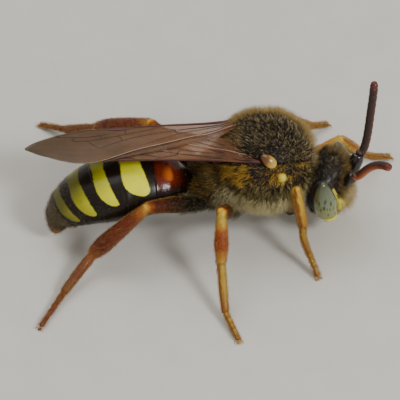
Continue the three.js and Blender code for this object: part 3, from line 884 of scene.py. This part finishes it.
for leg, side in ((leg, side) for leg in LEGS for side, _ in SIDES):
    (femur_finish, femur_stops), (tibia_finish, tibia_stops), (heel_finish, heel_stops) = LEGS[leg]
    tag = f"{leg}_{side}"
    hip, knee = joint(f"coxa_{tag}", f"femur_{tag}"), joint(f"femur_{tag}", f"tibia_{tag}")
    ankle, toe = joint(f"tibia_{tag}", f"heel_{tag}"), joint(f"heel_{tag}", f"foot_{tag}")
    root, tip = far_end(f"coxa_{tag}", hip, 0.2), far_end(f"foot_{tag}", toe, 0.16)
    knee += up(FORE_KNEE_LIFT if leg == "fore" else 0)
    toe.z, tip.z = max(toe.z - 0.08, sole + TOE_HEIGHT), sole + TIP_HEIGHT

    # Each part starts a little before its joint and ends a little past the next, so that they meet.
    bm, line = bmesh.new(), course([root, hip])
    reach = (knee - hip).normalized()
    tube(bm, line, HIP, 20, 24)
    tube(bm, course([hip - reach * 0.12, hip + reach * 0.3]), HIP_COLLAR, 16, 24)
    limb(bm, "hip", "coxa", tag, "black_cuticle", line, HIP, black)

    bm, bow = bmesh.new(), hip.lerp(knee, 0.5) + up(0.05)
    line = course([hip, bow, knee + (knee - bow).normalized() * OVERSHOOT["femur"]])
    girth = domed(femur_stops, line.length)
    tube(bm, line, girth, 60, 28)
    limb(bm, "thigh", "femur", tag, "rust_cuticle", line, girth, femur_finish)

    bm, down = bmesh.new(), (ankle - knee).normalized()
    line = course([knee - down * 0.12, knee.lerp(ankle, 0.5) + up(0.02), ankle + down * OVERSHOOT["tibia"]])
    girth = domed(tibia_stops, line.length)
    tube(bm, line, girth, 60, 28)
    outward = down.cross(up(1)).normalized()
    for way in ((-1, 1) if leg == "hind" else (1,)):
        spur_from = ankle - down * 0.08 + outward * 0.1 * way - up(0.1)
        spur_to = spur_from + down * 0.34 + outward * 0.07 * way - up(0.1)
        spur = course([spur_from, spur_from.lerp(spur_to, 0.5) + down * 0.02, spur_to])
        tube(bm, spur, SPUR, 10, 8, material=1)
    limb(bm, "shin", "tibia", tag, "orange_cuticle", line, girth, tibia_finish, spine_horn)

    bm, bow = bmesh.new(), ankle.lerp(toe, 0.5) + Vector((FORE_HEEL_BOW if leg == "fore" else 0, 0, 0))
    line = course([ankle - down * 0.1, bow, toe + (toe - ankle).normalized() * OVERSHOOT["heel"]])
    girth = domed(heel_stops, line.length)
    tube(bm, line, girth, 50, 22)
    limb(bm, "heel_joint", "heel", tag, "amber_cuticle", line, girth, heel_finish)

    bm, line = bmesh.new(), course([toe, toe.lerp(tip, 0.45), tip])
    onward = (tip - toe).normalized()
    outward = onward.cross(up(1)).normalized()
    for start, end, wide in TOES:
        first = line(max(0, start))[0] + onward * min(0, start)
        part = course([first, line((start + end) / 2)[0], line(end)[0]])
        tube(bm, part, domed([(0, wide * 0.7), (0.5, wide * 0.85), (1, wide)], part.length), 18, 16, flat=0.8)
    for way in (-1, 1):
        base = tip + outward * 0.03 * way
        peak = base + onward * 0.09 + outward * 0.07 * way + up(0.02)
        point = peak + onward * 0.05 + outward * 0.03 * way - up(0.09)
        tube(bm, course([base, peak, point]), CLAW, 12, 8, material=1)
    ball(bm, tip + onward * 0.08 - up(0.04), (0.06, 0.06, 0.035), 14)
    for v in bm.verts:
        v.co.z = max(v.co.z, sole + SOLE_GAP)
    limb(bm, "foot_joints", "foot", tag, "amber_cuticle", line, lambda share: 0.1, heel_finish, spine_horn)

# ---------------------------------------------------------------- wings
# Two pairs of thin clear membranes, stiffened by hollow veins and hooked together, lie folded flat over
# the back with the left pair on top. They are smoky brown, darkest at the tip, and glossy like varnish.
WING_YAW = {"left": math.radians(-1.4), "right": math.radians(4.7)}
WING_LIFT = {"left": 0.06, "right": -0.03}  # over the level at which the pairs meet
WING_ROOT_RISE = {"left": 0.1, "right": 0.27}  # up and out over the side of the thorax
WING_CREST, WING_DROOP, WING_ROOF, WING_AXIS = 3.78, 0.0064, 0.08, 0.2
WING_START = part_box("forewing_left")[1].x / MM
WING_HINGE = middle("tegula_left").y - thorax_middle.y - 0.23  # out from the middle plane, inside the cap
FRONT_EDGE = ((0, 0), (2.5, 0), (5, 0), (6.2, 0.03), (6.85, 0.14), (7.4, 0.3), (7.8, 0.47), (8.07, 0.68))
BACK_EDGE = (
    (0, 0.12), (0.5, 0.26), (1.1, 0.45), (2.17, 0.64), (3.24, 0.93), (4.3, 1.18), (5.36, 1.54), (6.15, 1.6),
    (6.8, 1.43), (7.3, 1.2), (7.72, 0.98), (8.06, 0.75),
)
front_line, back_line = [course([(*spot, 0) for spot in edge]) for edge in (FRONT_EDGE, BACK_EDGE)]
HIND_FROM, HIND_TO, HIND_WIDE = 0.06, 0.66, 0.66
HIND_SPREAD = {"left": 0.5, "right": 1.0}
MEMBRANE_THICK = 0.02  # far more than life, so that it shows
FORE_VEINS = (  # (width at each end, then places as shares out and back)
    (0.13, 0.045, (0.0, 0.1), (0.2, 0.03), (0.4, 0.02), (0.54, 0.03)),
    (0.03, 0.016, (0.62, 0.03), (0.72, 0.015), (0.86, 0.02)),
    (0.026, 0.022, (0.6, 0.11), (0.66, 0.21), (0.74, 0.22), (0.81, 0.14), (0.86, 0.03)),
    (0.06, 0.026, (0.0, 0.5), (0.1, 0.36), (0.16, 0.33), (0.34, 0.37)),
    (0.026, 0.024, (0.34, 0.37), (0.39, 0.2), (0.45, 0.04)),
    (0.024, 0.022, (0.42, 0.14), (0.5, 0.25), (0.6, 0.31), (0.7, 0.345), (0.78, 0.33)),
    (0.022, 0.022, (0.56, 0.09), (0.555, 0.29)),
    (0.022, 0.02, (0.66, 0.21), (0.655, 0.33)),
    (0.022, 0.02, (0.76, 0.2), (0.785, 0.26), (0.77, 0.335)),
    (0.024, 0.02, (0.34, 0.37), (0.48, 0.46), (0.6, 0.54), (0.67, 0.63)),
    (0.022, 0.018, (0.6, 0.31), (0.575, 0.42), (0.58, 0.53)),
    (0.02, 0.018, (0.72, 0.345), (0.7, 0.48), (0.67, 0.63)),
    (0.022, 0.02, (0.35, 0.38), (0.345, 0.5), (0.33, 0.62)),
    (0.032, 0.016, (0.0, 0.72), (0.15, 0.6), (0.33, 0.62), (0.46, 0.82), (0.52, 0.95)),
)
HIND_VEINS = (
    (0.035, 0.014, (0.0, 0.06), (0.3, 0.05), (0.6, 0.04), (0.9, 0.1)),
    (0.028, 0.014, (0.0, 0.3), (0.3, 0.38), (0.6, 0.42), (0.84, 0.5)),
    (0.022, 0.014, (0.36, 0.06), (0.44, 0.22), (0.46, 0.4)),
    (0.022, 0.012, (0.0, 0.55), (0.3, 0.72), (0.55, 0.86)),
)
WING_SPOT = ((0.52, 0.045), (0.58, 0.055), (0.65, 0.03))  # the dark spot on the front edge
SPOT_GIRTH = along((0, 0), (0.1, 0.05), (0.5, 0.085), (0.9, 0.03), (1, 0))
ROLL = [(0.04 + 0.08 * k, 1.0) for k in range(11)]  # the rolled part of the back edge
ROLL_GIRTH = along((0, 0), (0.02, 0.011), (0.7, 0.009), (1, 0))


def wing_place(side, flat, lift=0.0):
    """A place in the wing's own plane (out from the hinge, in from the front edge) on the folded wing."""
    hand, yaw = dict(SIDES)[side], WING_YAW[side]
    over = WING_ROOT_RISE[side] * step(1.6, 0.8, flat.x)
    x = WING_START - flat.x * math.cos(yaw) + flat.y * math.sin(yaw)
    y = hand * (WING_HINGE + over - flat.x * math.sin(yaw) - flat.y * math.cos(yaw))
    level = over + WING_CREST - WING_DROOP * (x - WING_START - 0.1) ** 2 - WING_ROOF * (y - WING_AXIS) ** 2
    return Vector((x, y + thorax_middle.y, level + WING_LIFT[side] + lift))


@functools.cache
def edges(out):
    return front_line(out)[0], back_line(out)[0]


def forewing_at(side, out, back):
    """A place on the forewing's own plane: shares of the way out and from the front edge to the back one."""
    front, rear = edges(out)
    return front.lerp(rear, back)


def hindwing_at(side, out, back):
    """The hindwing's front edge is hooked under the forewing's back edge, and fans out from there."""
    front = edges(HIND_FROM + (HIND_TO - HIND_FROM) * out)[1] - Vector((0, 0.06, 0))
    wide = HIND_WIDE * HIND_SPREAD[side] * math.sin(math.pi * (0.19 + 0.77 * out)) ** 0.6
    return front + Vector((0, wide * back, 0))


def pleat(out, back):
    """Shallow lengthwise folds, deepest near the root, that the veins ride on."""
    folds = 0.022 * math.sin(2 * math.pi * (2.2 * back + 0.4 * out)) * (1 - out) ** 2
    fine = 0.002 * math.sin(2 * math.pi * (6 * back + 3 * out)) * step(0.5, 0.9, out)
    return folds + fine + 0.012 * noise.noise(Vector((out * 5, back * 2.5, 0)))


def over_wing(side, at, down, route, lift):
    """A line through places on a wing, a little over it."""
    return course([wing_place(side, at(side, *place), down + pleat(*place) + lift) for place in route], 12)


membrane, membrane_shader = finish(
    "smoky_clear_wing_membrane", Roughness=0.42, Coat_Weight=0.1, Coat_Roughness=0.3, Specular_IOR_Level=0.35
)
membrane_way = add(membrane, "SeparateXYZ", add(membrane, "UVMap", uv_map="Own")).outputs["X"]
membrane_place = add(membrane, "TexCoord").outputs["Object"]
membrane_tone = add(
    membrane, "ValToRGB", membrane_way,
    stops=[(0.0, "#50180e"), (0.1, "#7c4c30"), (0.3, "#885c3c"), (0.6, "#684a30"), (1.0, "#4c3a22")],
)
membrane_cloud = add(membrane, "TexNoise", membrane_place, Scale=1800, Detail=5)
membrane_hairs = add(membrane, "TexNoise", membrane_place, Scale=16000, Detail=2)
fill(
    membrane_shader,
    Base_Color=add(membrane, "MixRGB", 0.5, membrane_tone, membrane_cloud, blend_type="SOFT_LIGHT"),
    Alpha=add(membrane, "MapRange", membrane_way, 0.1, 0.85, 0.46, 0.76),
    Normal=add(membrane, "Bump", Strength=0.4, Distance=0.006 * MM, Height=membrane_hairs),
)
vein_brown = clouded(
    "dark_brown_wing_vein", "#1e0f08", "#3c2114", 5000, (0.4, 0.006),
    Roughness=0.32, Coat_Weight=0.3, Coat_Roughness=0.2,
)
front_red = clouded(
    "dark_red_front_vein", "#300a06", "#54160c", 5000, Roughness=0.42, Coat_Weight=0.1, Coat_Roughness=0.2
)
# The pale tan of the rolled back edge is a painted highlight: a bright line along the wing's back edge.
rolled_edge_highlight = clouded(  # the back edge is rolled over, and catches the light as a pale line
    "painted_highlight_wing_edge", "#8a6244", "#d2b496", 8000, (0.8, 0.01),
    Roughness=0.2, Coat_Weight=0.5, Coat_Roughness=0.1,
)

WING_KINDS = (("forewing", forewing_at, FORE_VEINS, 0.0), ("hindwing", hindwing_at, HIND_VEINS, -0.025))
for side, (kind, at, veins, down) in ((side, kind) for side, _ in SIDES for kind in WING_KINDS):
    sheet = bmesh.new()
    layer = sheet.loops.layers.uv.new("Own")
    bmesh.ops.create_grid(sheet, x_segments=160, y_segments=36, size=0.5)
    own_map(sheet.faces, layer)
    for v in sheet.verts:
        out, back = v.co.x + 0.5, v.co.y + 0.5
        v.co = wing_place(side, at(side, out, back), down + pleat(out, back))
    bmesh.ops.remove_doubles(sheet, verts=sheet.verts, dist=1e-4)
    bmesh.ops.recalc_face_normals(sheet, faces=sheet.faces)
    bmesh.ops.solidify(sheet, geom=sheet.faces[:], thickness=MEMBRANE_THICK)
    piece(f"{kind}_membrane_{side}", sheet, [f"{kind}_{side}"], "wing_membrane", membrane)

    ribs = bmesh.new()
    for number, (thick, thin, *route) in enumerate(veins):
        line = over_wing(side, at, down, route, 0.006)
        girth = along((0, 0), (0.015, thick / 2), (0.985, thin / 2), (1, 0))
        tube(ribs, line, girth, max(8, round(line.length / 0.07)), 8, flat=0.8, material=int(number == 0))
    if kind == "forewing":
        tube(ribs, over_wing(side, at, down, WING_SPOT, 0.008), SPOT_GIRTH, 18, 12, flat=0.35, material=1)
        tube(ribs, over_wing(side, at, down, ROLL, 0.002), ROLL_GIRTH, 120, 8, material=2)
    skins = (vein_brown, front_red, rolled_edge_highlight)
    piece(f"{kind}_veins_{side}", closed(ribs), [f"{kind}_{side}"], "wing_membrane", *skins)

# ---------------------------------------------------------------- coat
# Bees carry branched hairs: dense and golden on the flanks, short and dark on the back, pale below, buff on
# the face. Each tuft is a fine three-sided spike that grows from the shell and bends with the lie.
TUFT_PATCH = 0.003  # width of a tuft's own patch on the map
TUFT_SINK = 0.02  # how deep its root stands in the shell
SEED = 7
BARE_ROUND = {  # how far round its middle each wing cover and lobe keeps the skin bare
    "tegula_left": 0.22, "tegula_right": 0.22, "pronotal_lobe_left": 0.11, "pronotal_lobe_right": 0.11,
}
coat_hair, coat_shader = finish("golden_and_brown_bee_hair", Roughness=0.42, Specular_IOR_Level=0.5)
coat_cloud = add(coat_hair, "TexNoise", add(coat_hair, "TexCoord").outputs["Object"], Scale=6000, Detail=3)
coat_vary = add(coat_hair, "MapRange", coat_cloud, 0, 1, 0.8, 1.2)
coat_tone = add(coat_hair, "Attribute", attribute_name="tone").outputs["Color"]
fill(coat_shader, Base_Color=add(coat_hair, "VectorMath", coat_tone, operation="SCALE", Scale=coat_vary))
rng = np.random.default_rng(SEED)
centre = np.array(thorax_middle)


def unit(vectors):
    return vectors / np.maximum(np.linalg.norm(vectors, axis=1), 1e-9)[:, None]


def ease(low, high, values):
    """0 below low, 1 above high, and a smooth rise between them, for many values at once."""
    share = np.clip((values - low) / (high - low), 0, 1)
    return share * share * (3 - 2 * share)


def shades(codes, shares):
    """A mixture of colours, one for each tuft, picked by a number from 0 to 1."""
    table = np.array([colour("#" + code)[:3] for code in codes.split()])
    at = np.clip(shares, 0, 1) * (len(table) - 1)
    low = np.minimum(at.astype(int), len(table) - 2)
    return table[low] + (table[low + 1] - table[low]) * (at - low)[:, None]


def wandering(places, size, seed=0.0):
    """A soft random field over places, about -1 to 1, with features of that size in millimetres."""
    return np.array([noise.noise(Vector(p) / size + Vector((seed, seed, seed))) for p in places])


def halves(roots, around):
    """An unwrap of a rounded body: its right and left halves, flattened out from their middles."""
    away = unit(roots - np.array(around))
    tilt = np.arccos(np.abs(away[:, 1])) / (math.pi / 2)
    turn = np.arctan2(away[:, 2], away[:, 0])
    across, over = 0.25 + 0.5 * (away[:, 1] > 0) + 0.24 * (tilt * np.cos(turn)), tilt * np.sin(turn)
    return np.stack([across, 0.5 + 0.48 * over], axis=1)


def rooted(made, count, keep):
    """Random places on a piece, in millimetres, with the way out there, kept by the share that keep gives."""
    mesh = made.data
    mesh.calc_loop_triangles()
    places = np.array([v.co for v in mesh.vertices]) / MM
    outs = np.array([v.normal for v in mesh.vertices])
    faces = np.array([t.vertices[:] for t in mesh.loop_triangles])
    first, second, third = [places[faces[:, k]] for k in range(3)]
    area = np.linalg.norm(np.cross(second - first, third - first), axis=1)
    chosen = rng.choice(len(faces), size=count, p=area / area.sum())
    split = rng.random((count, 2))
    split[split.sum(1) > 1] = 1 - split[split.sum(1) > 1]
    a, b = split[:, :1], split[:, 1:]
    roots = first[chosen] * (1 - a - b) + second[chosen] * a + third[chosen] * b
    away = outs[faces[chosen, 0]] * (1 - a - b) + outs[faces[chosen, 1]] * a + outs[faces[chosen, 2]] * b
    kept = rng.random(count) < keep(roots, unit(away))
    return roots[kept], unit(away)[kept]


def combed(out, lie):
    """A lie laid flat along the skin."""
    comb = np.tile(np.array(lie, float), (len(out), 1))
    return unit(comb - out * (comb * out).sum(1)[:, None])


def grown(made, around, where, count, keep, lie, stand, length, width, dark, light, glint):
    """Tufts on a piece, combed along the lie. A share of them, the glints, are the lightest colour."""
    roots, out = rooted(made, count, lambda roots, out: keep(where(roots, out)))
    size = np.full(len(roots), length) * (0.7 + 0.6 * rng.random(len(roots)))
    pick = 0.15 + 0.5 * rng.random(len(roots)) + 0.35 * wandering(roots, 0.3)
    pick = np.where(rng.random(len(roots)) < glint, 1.0, np.minimum(pick, 0.85))
    way = unit(out * stand + combed(out, lie) * (1 - stand) + 0.2 * rng.normal(size=roots.shape))
    thick = np.full(len(roots), width)
    return roots, out, way, size, thick, shades(dark, pick), shades(light, pick), halves(roots, around)


def tufted(name, slot, *groups):
    """One piece of joined tufts, from groups of (roots, way out, lie, length, width, root colour, tip colour,
    place on the unwrap)."""
    roots, stand, lie, length, width, dark, light, flat = [np.concatenate(column) for column in zip(*groups)]
    count = len(roots)
    bend, tip = roots + stand * (length * 0.5)[:, None], roots + lie * length[:, None]
    side = unit(np.cross(lie, stand) + 1e-4)
    front = unit(np.cross(side, lie))
    rungs = []
    for share, thick in ((0.0, 1.0), (0.5, 0.75)):
        at = roots * (1 - share) ** 2 + 2 * bend * share * (1 - share) + tip * share**2
        at = at - stand * TUFT_SINK * (1 - share)
        for turn in (0, 2 * math.pi / 3, 4 * math.pi / 3):
            rungs.append(at + (side * math.cos(turn) + front * math.sin(turn)) * (width * thick)[:, None])
    places = np.stack([*rungs, tip], axis=1).reshape(-1, 3) * MM
    spike = [(0, 2, 1)]
    for k, after in ((0, 1), (1, 2), (2, 0)):
        spike += [(k, after, after + 3), (k, after + 3, k + 3), (k + 3, after + 3, 6)]
    faces = (np.array(spike)[None] + 7 * np.arange(count)[:, None, None]).reshape(-1, 3)
    mesh = bpy.data.meshes.new(name)
    mesh.vertices.add(len(places))
    mesh.vertices.foreach_set("co", places.ravel())
    mesh.loops.add(faces.size)
    mesh.loops.foreach_set("vertex_index", faces.ravel())
    mesh.polygons.add(len(faces))
    mesh.polygons.foreach_set("loop_start", np.arange(0, faces.size, 3))
    mesh.update(calc_edges=True)
    tone = np.repeat(np.stack([dark, dark * 0.5 + light * 0.5, light], axis=1), (3, 3, 1), axis=1)
    tone = np.concatenate([tone, np.ones((count, 7, 1))], axis=2)
    mesh.attributes.new("tone", "FLOAT_COLOR", "POINT").data.foreach_set("color", tone.ravel())
    patch = np.array([(0, 0), (0.5, 0), (1, 0), (0, 0.5), (0.5, 0.5), (1, 0.5), (0.5, 1)]) * TUFT_PATCH
    patches = (flat[:, None] * (1 - TUFT_PATCH) + patch[None]).reshape(-1, 2)[faces.ravel()]
    mesh.uv_layers.new(name="OFBake").data.foreach_set("uv", patches.ravel())
    mesh.materials.append(coat_hair)
    made = placed(name, mesh)
    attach(made, "root")


def on_thorax(roots, out):
    """Where roots are: forwards (x) and left (y) of the middle of the thorax, degrees round it from the top
    (lean), how steep the skin is (tilt), and how clear of the wing covers (caps) and of the wings."""
    x, y, z = (roots - centre).T
    lean, tilt = np.degrees(np.arctan2(np.abs(y), z)), np.degrees(np.arccos(np.clip(out[:, 2], -1, 1)))
    caps = np.ones(len(roots))
    for name, reach in BARE_ROUND.items():
        away = np.linalg.norm(roots - np.array(middle(name)), axis=1)
        caps = caps * ease(reach - 0.06, reach + 0.06, away)
    wings = 1 - ease(0.15, -0.1, x) * ease(36, 42, lean) * ease(56, 52, lean)
    return types.SimpleNamespace(roots=roots, x=x, y=y, lean=lean, tilt=tilt, caps=caps, wings=wings)


def patch(at, x, lean, wide, deep):
    """1 in the middle of a soft oval on the flank, falling to 0 at its ragged rim."""
    away = np.hypot((at.x - x) / wide, (at.lean - lean) / deep)
    return ease(1.15, 0.85, away + 1.1 * wandering(at.roots, 0.13, 5) + 0.7 * wandering(at.roots, 0.4, 2))


def golden(at):
    patches = np.maximum(patch(at, -1.12, 63, 0.5, 15), patch(at, 0.36, 63, 0.3, 14))
    return np.maximum(patches, 0.6 * patch(at, 1.15, 50, 0.2, 5)) * at.caps


def dark_back(at):
    return ease(58, 44, at.lean) * at.caps * at.wings * (0.8 + 0.2 * wandering(at.roots, 0.3))


def fringe(at):
    """Long pale-tipped hair round the edge of the back, thinner on the right side."""
    edge = np.maximum(ease(28, 40, at.lean), ease(1.05, 1.35, at.x)) * ease(88, 70, at.lean)
    inwards = at.y - 0.65 * ease(0.5, 1.2, at.x) + 0.35 * wandering(at.roots, 0.25, 3)
    edge = edge * (0.25 + 0.75 * ease(-1.3, -0.9, at.x)) * (0.02 + 0.98 * ease(-0.45, 0.2, inwards))
    return edge * ease(100, 80, at.tilt) * at.caps * np.maximum(at.wings, at.y > 0)


def nape(at):
    """Short brown and gold hair where the back falls to the back plate and the rear."""
    return ease(-0.75, -1.1, at.x) * ease(80, 60, at.tilt) * at.wings


def dark_flank(at):
    return ease(46, 56, at.lean) * ease(120, 100, at.lean) * at.caps * (1 - 0.8 * golden(at))


def olive(at):
    return ease(70, 88, at.lean) * ease(125, 105, at.lean) * (at.x < 0.9)


def rear(at):
    return ease(-0.95, -1.3, at.x) * ease(20, 50, at.tilt)


def below(at):
    return ease(92, 112, at.lean) * ease(-1.9, -1.3, at.x)


# For each patch: how many hairs are tried, where they grow, their lie, how far they stand up, their length
# and width, the colours of their roots and of their tips, and the share of glints.
on_back = functools.partial(grown, thorax_skin, centre, on_thorax)
tufted(
    "back_coat", "coat",
    on_back(60000, dark_back, (-0.5, 0, 0.2), 0.66, 0.21, 0.0056,
            "0d0a06 161009 241b0d 8a6c30", "1c150d 2e2315 5a4826 f6e0a8", 0.15),
)
tufted(
    "fringe_coat", "coat",
    on_back(16000, nape, (-0.7, 0, 0.1), 0.7, 0.24, 0.0056,
            "241406 54340c 8a5c14", "5c3c10 a07420 f0c04c", 0.16),
    on_back(120000, fringe, (-0.3, 0.3, 0.3), 0.9, 0.42, 0.0052,
            "4a3616 6e5424 8c6c34", "947840 b49858 d4ba7c", 0.06),
)
tufted(
    "flank_coat", "coat",
    on_back(32000, golden, (-0.7, 0, -0.4), 0.75, 0.25, 0.0062,
            "5c3806 a86c08 dca018", "94640a e0a820 ffe46c", 0.26),
    on_back(26000, dark_flank, (-0.8, 0, -0.5), 0.6, 0.17, 0.0055,
            "0a0704 160f07 6a4c18", "1a1209 382813 f4d488", 0.17),
    on_back(16000, olive, (-0.6, 0, -0.7), 0.6, 0.26, 0.0055,
            "2c2610 50461a 76682c", "66582a 948246 ccbc80", 0.14),
)
tufted(
    "rear_coat", "coat",
    on_back(17000, rear, (-0.8, 0, -0.3), 0.7, 0.28, 0.0055,
            "100c06 2a1f0e 4e3a18", "2c2210 66501f b49a58", 0.1),
)
tufted(
    "underside_coat", "coat",
    on_back(36000, below, (-0.3, 0, -0.6), 0.76, 0.36, 0.0055,
            "746838 a49658 c2b47c", "beae6c dccf9c f4ecc8", 0.16),
)
tufted(
    "back_plate_coat", "coat",
    grown(back_plate, centre, on_thorax, 4200, lambda at: ease(105, 80, at.tilt), (-0.6, 0, 0.2), 0.66, 0.17,
          0.0055, "1e1006 3e220c 6e4414", "4a2a10 7c5420 c89038", 0.1),
)


def in_capsule(roots, out):
    """Where roots are in the head's own frame, and how clear they are of the eyes."""
    x, y, z = ((roots - np.array(head_middle)) @ np.array(head_turn)).T
    away = np.stack([x - EYE_AT.x, np.abs(y) - EYE_AT.y, z - EYE_AT.z], axis=1)
    clear = ease(1.02, 1.12, np.linalg.norm(away / np.array(EYE_HALF), axis=1))
    return types.SimpleNamespace(x=x, y=y, z=z, clear=clear)


def brow(at):
    """Hair above the roots of the feelers, reaching further over the crown on the left."""
    left = ease(0.05, 0.45, at.y)
    front = ease(0.28, 0.45, at.x + 0.3 * left) * ease(-0.1, 0.2, at.z) * ease(1.02, 0.8, at.z - 0.4 * left)
    return at.clear * front


def lashes(at):
    """Long hair on the crown beside the top of the left eye."""
    beside = ease(0.2, 0.45, np.abs(at.y)) * ease(0.3, 0.6, at.z) * ease(-0.2, 0.05, at.x)
    return beside * at.clear * ease(-0.1, 0.3, at.y)


def front_face(at):
    front = ease(0.1, 0.3, at.x) * ease(-1.0, -0.7, at.z) * ease(0.4, 0.0, at.z)
    return at.clear * front * ease(0.52, 0.4, np.abs(at.y))


def crown(at):
    return at.clear * (0.3 + 0.7 * ease(0.2, 0.6, at.z)) * ease(0.5, 0.3, at.x)


def beard(at):
    return at.clear * ease(-0.4, -0.75, at.z) * ease(0.2, 0.0, at.x)


forwards = np.array(head_turn @ Vector((1, 0, 0)))
on_skull = functools.partial(grown, head_skin, head_middle, in_capsule)
tufted(
    "head_coat", "coat",
    on_skull(12000, brow, forwards * 0.4 + np.array((0, 0, 0.4)), 0.8, 0.24, 0.005,
             "33260f 5c4620 7c5f30", "6a5228 94783e bca060", 0.08),
    on_skull(40000, lashes, (0, 0.5, 0.5), 0.7, 0.36, 0.005,
             "2a2010 4c3a1c 6c5428", "54421f 8a7040 c0a468", 0.08),
    on_skull(14000, front_face, forwards * 0.7 + np.array((0, 0, -0.3)), 0.86, 0.32, 0.005,
             "8a7444 a08a58", "b8a068 dccca0", 0.08),
    on_skull(18000, crown, (0.2, 0, 0.4), 0.72, 0.15, 0.0048,
             "0b0806 14100b 4a3e26", "17120d 2c2419 c8b078", 0.09),
    on_skull(9000, beard, (-0.3, 0, -0.8), 0.6, 0.22, 0.005,
             "7c6c44 94845a", "b8aa78 cfc496", 0.05),
)

# Short golden bristles lie along the legs, thickest on the shins and feet, with soft pale hair on the hips and
# long dark hair at the base of the hind thighs. That hair is partly dark of itself and partly painted shade
# where the thighs go in under the body.
BRISTLES = {"coxa": 900, "femur": 1100, "tibia": 1900, "heel": 1100, "foot": 600}
BRISTLE_LENGTH = {"coxa": 2.4, "femur": 0.7}
BRISTLE_SHADES, HIP_SHADES = ("6a3c14 94682c", "a06c24 d8ac58"), ("14100a 4a3c20", "3a2e18 a8986a")
THIGH_SHADES, HAIRY_BASE = ("100c06 3a3018", "2a2010 968450"), 0.42
leg_hair = {"right": [], "left": []}
for number, (tag, part, line, girth) in enumerate(leg_tubes):
    hairy = part == "femur" and "hind" in tag
    count = BRISTLES[part] * (2 if hairy else 1)
    shares, turns = rng.random(count) * 0.94 + 0.03, rng.random(count) * 2 * math.pi
    middles, ahead = [np.array(column) for column in zip(*[line(share) for share in shares])]
    side = unit(np.cross(ahead, (0, 0, 1)))
    out = side * np.sin(turns)[:, None] - np.cross(side, ahead) * np.cos(turns)[:, None]
    roots = middles + out * (np.array([girth(share) for share in shares]) * 0.98)[:, None]
    length = (0.07 + 0.05 * rng.random(count)) * BRISTLE_LENGTH.get(part, 1)
    lie = unit(ahead * 0.75 + out * 0.5 + 0.15 * rng.normal(size=out.shape))
    pick = rng.random(count)
    tones = [shades(codes, pick) for codes in (HIP_SHADES if part == "coxa" else BRISTLE_SHADES)]
    if hairy:
        base = shares < HAIRY_BASE
        length = np.where(base, length * 3, length)
        thigh = [shades(codes, pick) for codes in THIGH_SHADES]
        tones = [np.where(base[:, None], dark, tone) for dark, tone in zip(thigh, tones)]
    flat = np.stack([(number + shares) / len(leg_tubes), turns / (2 * math.pi)], axis=1)
    clear = (roots + lie * length[:, None])[:, 2] > sole + 0.02
    group = (roots, out, lie, length, np.full(count, 0.0042), *tones, flat)
    leg_hair[tag.split("_")[1]].append([column[clear] for column in group])
for side, groups in leg_hair.items():
    tufted(f"bristles_{side}_legs", "amber_cuticle", *groups)

# The abdomen is nearly bare: a sparse pale down on its last rings, its rims and the sides of the first ring.
DOWN = (1800, 900, 900, 900, 1300, 1600, 900)  # how many are tried on each ring
stations = np.array([(k / 200, *belly_line(k / 200)[0]) for k in range(201)])
ring_groups = []
for number, (made, count) in enumerate(zip(rings, DOWN), 1):
    roots, out = rooted(made, count, lambda roots, out: np.ones(len(roots)))
    nearest = stations[[np.linalg.norm(stations[:, 1:] - root, axis=1).argmin() for root in roots]]
    across, over = roots[:, 1] - nearest[:, 2], roots[:, 2] - nearest[:, 3]
    under = ease(60, 110, np.degrees(np.arctan2(np.abs(across), over)))
    turn = np.arctan2(across, over) / (2 * math.pi) + 0.5
    flat = np.stack([nearest[:, 0], turn], axis=1)
    kept = rng.random(count) < (0.35 + 0.65 * under if number < 5 else 0.9)
    roots, out, flat = roots[kept], out[kept], flat[kept]
    lie = unit(out * 0.45 + combed(out, (-1.0, 0, -0.1)) * 0.6 + 0.15 * rng.normal(size=out.shape))
    pick = rng.random(len(roots))
    length = np.full(len(roots), 0.085 if number < 6 else 0.12) * (0.7 + 0.6 * pick)
    tones = shades("2c2412 5c4e2c", pick), shades("5c4e2c 988658", pick)
    ring_groups.append((roots, out, lie, length, np.full(len(roots), 0.0036), *tones, flat))
tufted("abdomen_down", "coat", *ring_groups)
